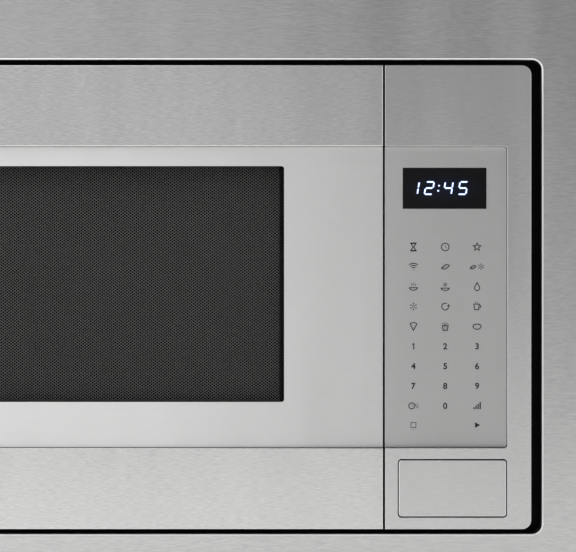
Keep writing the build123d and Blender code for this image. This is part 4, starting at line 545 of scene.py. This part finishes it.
class Marks:
    """Flat marks in the x-z plane, thin slabs standing out towards -y."""

    def __init__(self, y, height):
        self.y, self.height = y, height
        self.verts, self.faces = [], []

    def slab(self, outline):
        """One convex outline, counter-clockwise seen from the front."""
        n, start = len(outline), len(self.verts)
        self.verts += [(x, self.y - self.height, z) for x, z in outline]
        self.verts += [(x, self.y, z) for x, z in outline]
        self.faces.append(tuple(start + i for i in range(n)))
        for i in range(n):
            j = (i + 1) % n
            self.faces.append((start + j, start + i, start + n + i, start + n + j))

    def stroke(self, points, width, closed=False):
        """Ribbon along points with mitred corners."""
        pts = [Vector(p) for p in points]
        n = len(pts)
        left, right = [], []
        for i, p in enumerate(pts):
            before = pts[i - 1] if (i > 0 or closed) else None
            after = pts[(i + 1) % n] if (i < n - 1 or closed) else None
            a = (p - before).normalized() if before is not None else None
            b = (after - p).normalized() if after is not None else None
            a, b = a or b, b or a
            normal = Vector((-(a.y + b.y), a.x + b.x))
            normal = normal.normalized() if normal.length > 1e-6 else Vector((-a.y, a.x))
            mitre = max(0.45, normal.dot(Vector((-a.y, a.x))))
            reach = width / 2 / mitre
            left.append(p + normal * reach)
            right.append(p - normal * reach)
        for i in range(n if closed else n - 1):
            j = (i + 1) % n
            self.slab([tuple(right[i]), tuple(right[j]), tuple(left[j]), tuple(left[i])])

    def dot(self, cx, cz, r, steps=12):
        """Round spot."""
        self.slab([(cx + r * math.cos(2 * math.pi * i / steps),
                    cz + r * math.sin(2 * math.pi * i / steps)) for i in range(steps)])

    def build(self, name, finish, body):
        return piece(name, self.verts, self.faces, finish, body)


# Black gauze behind the vent slots in the surround's lip
gauze_finish = Finish("vent_gauze", Specular_IOR_Level=0.15)
weave = gauze_finish.cells((1600, 1600, 1600), randomness=0.2)
gauze_finish.color(gauze_finish.blend(weave, rgb(20, 20, 21), rgb(8, 8, 8)))
gauze_finish.rough(gauze_finish.noise((90, 90, 90)), 0.7, 0.85)
gauze_finish.bump(weave, 0.3, 0.0002)
gauze = Marks(4.4 * MM, 0.35 * MM)
gauze_half_w = 280 * MM
for z0, z1 in ((172.8 * MM, 177.2 * MM), (-177.2 * MM, -172.8 * MM)):
    gauze.slab([(-gauze_half_w, z0), (gauze_half_w, z0), (gauze_half_w, z1), (-gauze_half_w, z1)])
gauze.build("vent_gauze", gauze_finish, "root")

# Rolled bead along the edge of the trim's opening: a half-round on a rounded rectangle, coloured as a
# painted highlight
opening_half_w, opening_half_h, opening_r = 313 * MM, 178.75 * MM, 7.7 * MM
trim_face = -14 * MM
bead_r, bead_offset, bead_sink = 0.64 * MM, 0.42 * MM, 0.25 * MM
bead_steps = corner_steps = 10
# Painted highlight: a near-white, barely metallic colour that makes the bead a bright line
bead_painted_highlight = Finish("bead_painted_highlight", metallic=0.2)
highlight_tone = bead_painted_highlight.noise((900, 900, 900), detail=2)
bead_painted_highlight.color(bead_painted_highlight.blend(highlight_tone, rgb(238, 238, 237), rgb(248, 248, 247)))
bead_painted_highlight.rough(highlight_tone, 0.3, 0.42)
bead_painted_highlight.bump(highlight_tone, 0.05, 0.00002)
bead_path = []
for i, (side_x, side_z) in enumerate(((1, 1), (-1, 1), (-1, -1), (1, -1))):
    cx, cz = side_x * (opening_half_w - opening_r), side_z * (opening_half_h - opening_r)
    for k in range(corner_steps + 1):
        a = math.radians(90 * (i + k / corner_steps))
        bead_path.append((cx, cz, math.cos(a), math.sin(a)))
bead_verts, bead_faces = [], []
for cx, cz, nx, nz in bead_path:
    for k in range(bead_steps + 1):
        a = math.pi * k / bead_steps
        reach = opening_r + bead_offset - bead_r * math.cos(a)
        y = trim_face + bead_sink - bead_r * math.sin(a)
        bead_verts.append((cx + nx * reach, y, cz + nz * reach))
ring = bead_steps + 1
for i in range(len(bead_path)):
    here, there = i * ring, (i + 1) % len(bead_path) * ring
    for k in range(ring):
        n = (k + 1) % ring
        bead_faces.append((here + k, here + n, there + n, there + k))
bead = piece("trim_edge", bead_verts, bead_faces, bead_painted_highlight, "root")
for face in bead.data.polygons:
    face.use_smooth = face.index % ring != bead_steps

# Lit time on the display: slanted seven-segment figures
SEGMENTS = {"1": "bc", "2": "abged", "4": "fgbc", "5": "afgcd"}
figure_w, figure_h, bar = 6.8 * MM, 10.2 * MM, 1.0 * MM
slant = math.tan(math.radians(9.4))
display_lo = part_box("display_window")[0]
figures = Marks(display_lo.y, 0.06 * MM)
halo = Marks(display_lo.y, 0.02 * MM)
figure_z = display_lo.z + 10.4 * MM


def segment(x0, z0, a, b):
    """Bar with pointed ends between two corners of a figure, on a wider dim one."""
    a, b = Vector(a), Vector(b)
    along = (b - a).normalized()
    for layer, width, gap in ((figures, bar, 0.24 * MM), (halo, 2.1 * bar, -0.35 * MM)):
        across = Vector((-along.y, along.x)) * width / 2
        a0, b0, tip = a + along * gap, b - along * gap, along * width / 2
        outline = [a0, a0 + tip - across, b0 - tip - across, b0, b0 - tip + across, a0 + tip + across]
        layer.slab([(x0 + p.x + (z0 + p.y - figure_z) * slant, z0 + p.y) for p in outline])


inner_w, inner_h = figure_w - bar, figure_h - bar
corner = {"tl": (0, inner_h), "tr": (inner_w, inner_h), "ml": (0, inner_h / 2),
          "mr": (inner_w, inner_h / 2), "bl": (0, 0), "br": (inner_w, 0)}
ends = {"a": ("tl", "tr"), "b": ("mr", "tr"), "c": ("br", "mr"), "d": ("bl", "br"),
        "e": ("bl", "ml"), "f": ("ml", "tl"), "g": ("ml", "mr")}
for character, place in (("1", 4.5), ("2", 15.6), ("4", 29.8), ("5", 40.8)):
    for letter in SEGMENTS[character]:
        a, b = ends[letter]
        segment(display_lo.x + place * MM + bar / 2, figure_z + bar / 2, corner[a], corner[b])
colon_x = display_lo.x + 26.0 * MM
for share in (0.3, 0.68):
    z = figure_z + figure_h * share
    for layer, r in ((figures, 0.62 * MM), (halo, 1.1 * MM)):
        layer.dot(colon_x + (z - figure_z) * slant, z, r)
figures.build("display_figures", figure_light, "root")
halo.build("display_halo", halo_light, "root")

# Printed keypad: numbers, and plain pictograms in the other places
keypad_y, print_height = -25.0 * MM, 0.03 * MM
marks = Marks(keypad_y, print_height)
columns = [215.4 * MM, 239.15 * MM, 263.0 * MM]
rows = [(37.5 - 14.85 * i) * MM for i in range(10)]
icon_half = 3.1 * MM
line, thin_line, fine_line = 0.74 * MM, 0.36 * MM, 0.34 * MM


def icon(column, row):
    """Maps unit coordinates (-1 to 1) to the place of a key."""
    cx, cz = columns[column], rows[row]
    return lambda px, pz: (cx + px * icon_half, cz + pz * icon_half)


def path(at, points, closed=False, width=line):
    marks.stroke([at(*p) for p in points], width, closed)


def round_points(px, pz, rx, rz, angles):
    """Points on an ellipse at angles in degrees."""
    return [(px + rx * math.cos(math.radians(a)), pz + rz * math.sin(math.radians(a)))
            for a in angles]


def bow(at, px, pz, r, a0, a1, steps=18, width=line):
    """Part of a circle, or all of it."""
    closed = abs(a1 - a0) >= 360
    count = steps if closed else steps + 1
    points = round_points(px, pz, r, r, [a0 + (a1 - a0) * i / steps for i in range(count)])
    path(at, points, closed, width)


def spot(at, px, pz, r):
    """Dot whose radius r is in mm."""
    cx, cz = at(px, pz)
    marks.dot(cx, cz, r * MM)


def snow(at, px, pz, r):
    for k in range(6):
        a = math.radians(30 + 60 * k)
        c, s = math.cos(a), math.sin(a)
        path(at, [(px + 0.12 * r * c, pz + 0.12 * r * s), (px + r * c, pz + r * s)], width=fine_line)
        for side in (-1, 1):
            b = a + side * math.radians(45)
            fx, fz = px + 0.6 * r * c, pz + 0.6 * r * s
            tip = (fx + 0.3 * r * math.cos(b), fz + 0.3 * r * math.sin(b))
            path(at, [(fx, fz), tip], width=0.3 * MM)


def wave(at, px, z0, z1, swing=0.13, width=line):
    points = [(px + swing * math.sin(2 * math.pi * i / 12), z0 + (z1 - z0) * i / 12)
              for i in range(13)]
    path(at, points, width=width)


def bowl(at, px, top, half, depth):
    path(at, [(px - half * 1.15, top), (px + half * 1.15, top)])
    path(at, round_points(px, top, half, depth, range(180, 361, 15)))


def leaf(at, px, pz, r):
    for side in (-1, 1):
        path(at, [(px - r + 2 * r * i / 10, pz - 0.35 * r + 0.7 * r * i / 10
                   + side * 0.52 * r * math.sin(math.pi * i / 10)) for i in range(11)])
    path(at, [(px - 1.25 * r, pz - 0.44 * r), (px + 0.35 * r, pz + 0.12 * r)], width=fine_line)


def clock(at, px, pz, r):
    bow(at, px, pz, r, 0, 360, 24)
    path(at, [(px, pz + 0.58 * r), (px, pz), (px + 0.42 * r, pz - 0.25 * r)], width=thin_line)


# Hourglass, clock, star
at = icon(0, 0)
path(at, [(-0.6, 0.85), (0.6, 0.85), (0.08, 0.0), (0.6, -0.85), (-0.6, -0.85), (-0.08, 0.0)], True)
path(at, [(-0.8, 0.95), (0.8, 0.95)])
path(at, [(-0.8, -0.95), (0.8, -0.95)])
clock(icon(1, 0), 0, 0, 0.92)
at = icon(2, 0)
star = []
for i in range(9, -1, -1):
    r = 0.98 if i % 2 == 0 else 0.42
    star.append((r * math.sin(math.pi * i / 5), r * math.cos(math.pi * i / 5)))
path(at, star, True)

# Sensor waves, leaf, leaf with snow
at = icon(0, 1)
spot(at, 0, -0.8, 0.36)
for r in (0.65, 1.15, 1.65):
    bow(at, 0, -0.8, r, 50, 130, 10)
leaf(icon(1, 1), 0.08, 0, 0.95)
at = icon(2, 1)
leaf(at, -0.95, -0.1, 0.72)
snow(at, 0.95, 0.05, 0.78)

# Warm bowl, frozen bowl, drop
at = icon(0, 2)
bowl(at, 0, -0.25, 0.95, 0.6)
for px in (-0.45, 0, 0.45):
    wave(at, px, 0.1, 0.95, width=thin_line)
at = icon(1, 2)
bowl(at, 0, -0.35, 0.95, 0.55)
snow(at, 0, 0.5, 0.55)
at = icon(2, 2)
path(at, [(0, 1.0), (-0.32, 0.42), (-0.56, -0.02)] +
     round_points(0, -0.32, 0.62, 0.62, range(170, 371, 20)) +
     [(0.56, -0.02), (0.32, 0.42)], True)

# Snow, turning arrow, mug
snow(icon(0, 3), 0, 0, 0.98)
at = icon(1, 3)
bow(at, 0, 0, 0.82, 60, 360, 22)
marks.slab([at(0.42, 0.05), at(1.22, 0.05), at(0.82, 0.62)])
at = icon(2, 3)
path(at, [(-0.75, 0.6), (-0.6, -0.75), (0.35, -0.75), (0.5, 0.6)], True)
bow(at, 0.52, 0.02, 0.36, -80, 80, 10)
for px in (-0.35, 0.1):
    wave(at, px, 0.78, 1.2, 0.08, 0.32 * MM)

# Slice, popcorn, potato
at = icon(0, 4)
path(at, [(-0.85, 0.6), (0, -0.95), (0.85, 0.6)])
bow(at, 0, -0.45, 1.35, 52, 128, 10)
for px, pz in ((-0.25, 0.35), (0.3, 0.25), (0.02, -0.25)):
    spot(at, px, pz, 0.32)
at = icon(1, 4)
path(at, [(-0.7, 0.15), (-0.5, -0.95), (0.5, -0.95), (0.7, 0.15)], True)
for px in (-0.2, 0.2):
    path(at, [(px, -0.8), (px * 1.3, 0.02)], width=fine_line)
for px, pz in ((-0.48, 0.42), (0.0, 0.62), (0.48, 0.42)):
    bow(at, px, pz, 0.27, 0, 360, 12, width=fine_line)
at = icon(2, 4)
potato = []
for degrees in range(0, 360, 18):
    a = math.radians(degrees)
    potato.append((0.98 * math.cos(a) * (1 - 0.08 * math.sin(a)),
                   0.62 * math.sin(a) + 0.08 * math.cos(2 * a)))
path(at, potato, True)
for px, pz in ((-0.4, 0.12), (0.1, -0.2), (0.42, 0.2)):
    spot(at, px, pz, 0.22)

# Cooking time, power level
at = icon(0, 8)
clock(at, -0.4, 0, 0.72)
for px in (0.65, 1.05):
    wave(at, px, -0.6, 0.6, 0.12, thin_line)
at = icon(2, 8)
for i in range(4):
    x0, x1, top = -0.92 + 0.5 * i, -0.58 + 0.5 * i, -0.35 + 0.42 * i
    marks.slab([at(x0, -0.8), at(x1, -0.8), at(x1, top), at(x0, top)])

# Stop, start
at = icon(0, 9)
path(at, [(-0.6, -0.45), (0.6, -0.45), (0.6, 0.75), (-0.6, 0.75)], True, 0.5 * MM)
for px in (-0.5, 0, 0.5):
    spot(at, px, -0.98, 0.2)
at = icon(2, 9)
marks.slab([at(-0.5, -0.55), at(0.75, 0.15), at(-0.5, 0.85)])

# Number 1: a stem and a flag
x, z, h = columns[0], rows[5], 2.35 * MM
marks.stroke([(x + 0.25 * MM, z - h), (x + 0.25 * MM, z + h)], 0.82 * MM)
marks.stroke([(x + 0.05 * MM, z + h - 0.25 * MM), (x - 0.95 * MM, z + h - 1.1 * MM)], 0.68 * MM)
marks.build("keypad_marks", printed, "root")

# Numbers 2 to 9 and 0, all at the scale that makes the 8 as high as number_height
number_height = 4.8 * MM
text = bpy.data.curves.new("number_text", "FONT")
text.align_x = "CENTER"
text.offset = 0.032
text_obj = put("number_text", text)


def digit_shape(digit):
    """Corners, centred on the digit's middle, faces, and the digit's height."""
    text.body = digit
    bpy.context.view_layer.update()
    shown = text_obj.evaluated_get(bpy.context.evaluated_depsgraph_get())
    flat = bpy.data.meshes.new_from_object(shown)
    xs, ys = [v.co.x for v in flat.vertices], [v.co.y for v in flat.vertices]
    middle_x, middle_y = (max(xs) + min(xs)) / 2, (max(ys) + min(ys)) / 2
    corners = [(x - middle_x, y - middle_y) for x, y in zip(xs, ys)]
    faces = [tuple(p.vertices) for p in flat.polygons]
    bpy.data.meshes.remove(flat)
    return corners, faces, max(ys) - min(ys)


unit = number_height / digit_shape("8")[2]
number_verts, number_faces = [], []
places = [(str(3 * r + c + 1), c, 5 + r) for r in range(3) for c in range(3)][1:] + [("0", 1, 8)]
for digit, column, row in places:
    corners, faces, _ = digit_shape(digit)
    start = len(number_verts)
    number_verts += [(columns[column] + x * unit, keypad_y - print_height, rows[row] + z * unit)
                     for x, z in corners]
    number_faces += [tuple(start + k for k in face) for face in faces]
bpy.data.objects.remove(text_obj)
piece("keypad_numbers", number_verts, number_faces, printed, "root")


# ---------- Floor, light and camera ----------

floor_z, floor_half = cad_box[0][2] - 0.5 * MM, 6
floor_mesh = bpy.data.meshes.new("floor")
floor_mesh.from_pydata([(floor_half * x, floor_half * y, floor_z)
                        for x, y in ((-1, -1), (1, -1), (1, 1), (-1, 1))], [], [(0, 1, 2, 3)])
floor = put("floor", floor_mesh)
floor_finish = Finish("floor", roughness=0.75)
floor_tone = floor_finish.noise((3, 3, 3), detail=2)
floor_finish.color(floor_finish.blend(floor_tone, rgb(224, 224, 223), rgb(232, 232, 231)))
floor_mesh.materials.append(floor_finish.mat)

world = bpy.data.worlds.new("studio")
bpy.context.scene.world = world
world.use_nodes = True
sky = world.node_tree
background = sky.nodes["Background"]
direction = sky.nodes.new("ShaderNodeSeparateXYZ")
sky.links.new(sky.nodes.new("ShaderNodeTexCoord").outputs["Generated"], direction.inputs["Vector"])


def sky_math(operation, a, b):
    node = sky.nodes.new("ShaderNodeMath")
    node.operation = operation
    for socket, value in zip(node.inputs, (a, b)):
        if isinstance(value, (int, float)):
            socket.default_value = value
        else:
            sky.links.new(value, socket)
    return node.outputs["Value"]


def sky_ramp(value, lo, hi, to_lo, to_hi):
    node = sky.nodes.new("ShaderNodeMapRange")
    node.interpolation_type = "SMOOTHSTEP"
    for key, number in (("From Min", lo), ("From Max", hi), ("To Min", to_lo), ("To Max", to_hi)):
        node.inputs[key].default_value = number
    sky.links.new(value, node.inputs["Value"])
    return node.outputs["Result"]


def sky_zone(level, zone, zone_level):
    """Level outside a zone, which is 0 to 1, and zone_level in it."""
    return sky_math("ADD", sky_math("MULTIPLY", level, sky_math("SUBTRACT", 1.0, zone)),
                    sky_math("MULTIPLY", zone, zone_level))


# The room that the steel mirrors: a wall in front, darker upwards and to the right, with a
# lighter patch at the far right, then a high zone, the sides, the ceiling and the back
sx, sy, sz = direction.outputs["X"], direction.outputs["Y"], direction.outputs["Z"]
level = sky_math("MULTIPLY", sky_ramp(sz, -0.03, 0.25, 0.66, 0.38), sky_ramp(sx, -0.07, 0.13, 1.3, 0.6))
level = sky_math("MULTIPLY", level, sky_ramp(sx, 0.11, 0.18, 1.0, 1.5))
level = sky_zone(level, sky_ramp(sz, 0.3, 0.5, 0.0, 1.0), sky_ramp(sx, -0.07, 0.06, 1.25, 0.0))
level = sky_zone(level, sky_ramp(sky_math("ABSOLUTE", sx, 0), 0.5, 0.8, 0.0, 1.0), 1.15)
level = sky_math("ADD", level, sky_math("MULTIPLY", sky_ramp(sz, 0.7, 0.95, 0.0, 1.0), 0.35))
level = sky_zone(level, sky_ramp(sy, -0.1, 0.25, 0.0, 1.0), 0.82)
sky.links.new(level, background.inputs["Strength"])
background.inputs["Color"].default_value = (1.0, 1.0, 1.0, 1.0)

# Soft light on the floor, which the steel doesn't mirror
wash_place, wash_target = Vector((-0.5, -0.5, 1.2)), Vector((-0.25, -0.27, -0.24))
wash_light = bpy.data.lights.new("floor_wash", "AREA")
wash_light.shape = "RECTANGLE"
wash_light.size, wash_light.size_y = 1.8, 0.9
wash_light.energy = 23
wash = put("floor_wash", wash_light)
wash.location = wash_place
wash.rotation_euler = (wash_target - wash_place).to_track_quat("-Z", "Y").to_euler()
wash.visible_glossy = False

# Camera: square to the front, as in the photo
camera = bpy.data.cameras.new("camera")
camera.sensor_width = 36.0
camera.lens = 125.7
camera.clip_start = 0.02
camera_obj = put("camera", camera)
camera_obj.location = (0.1216, -1.529, 0.0158)
camera_obj.rotation_euler = (math.radians(90), 0, 0)
bpy.context.scene.camera = camera_obj

bpy.context.scene.view_settings.view_transform = "Standard"
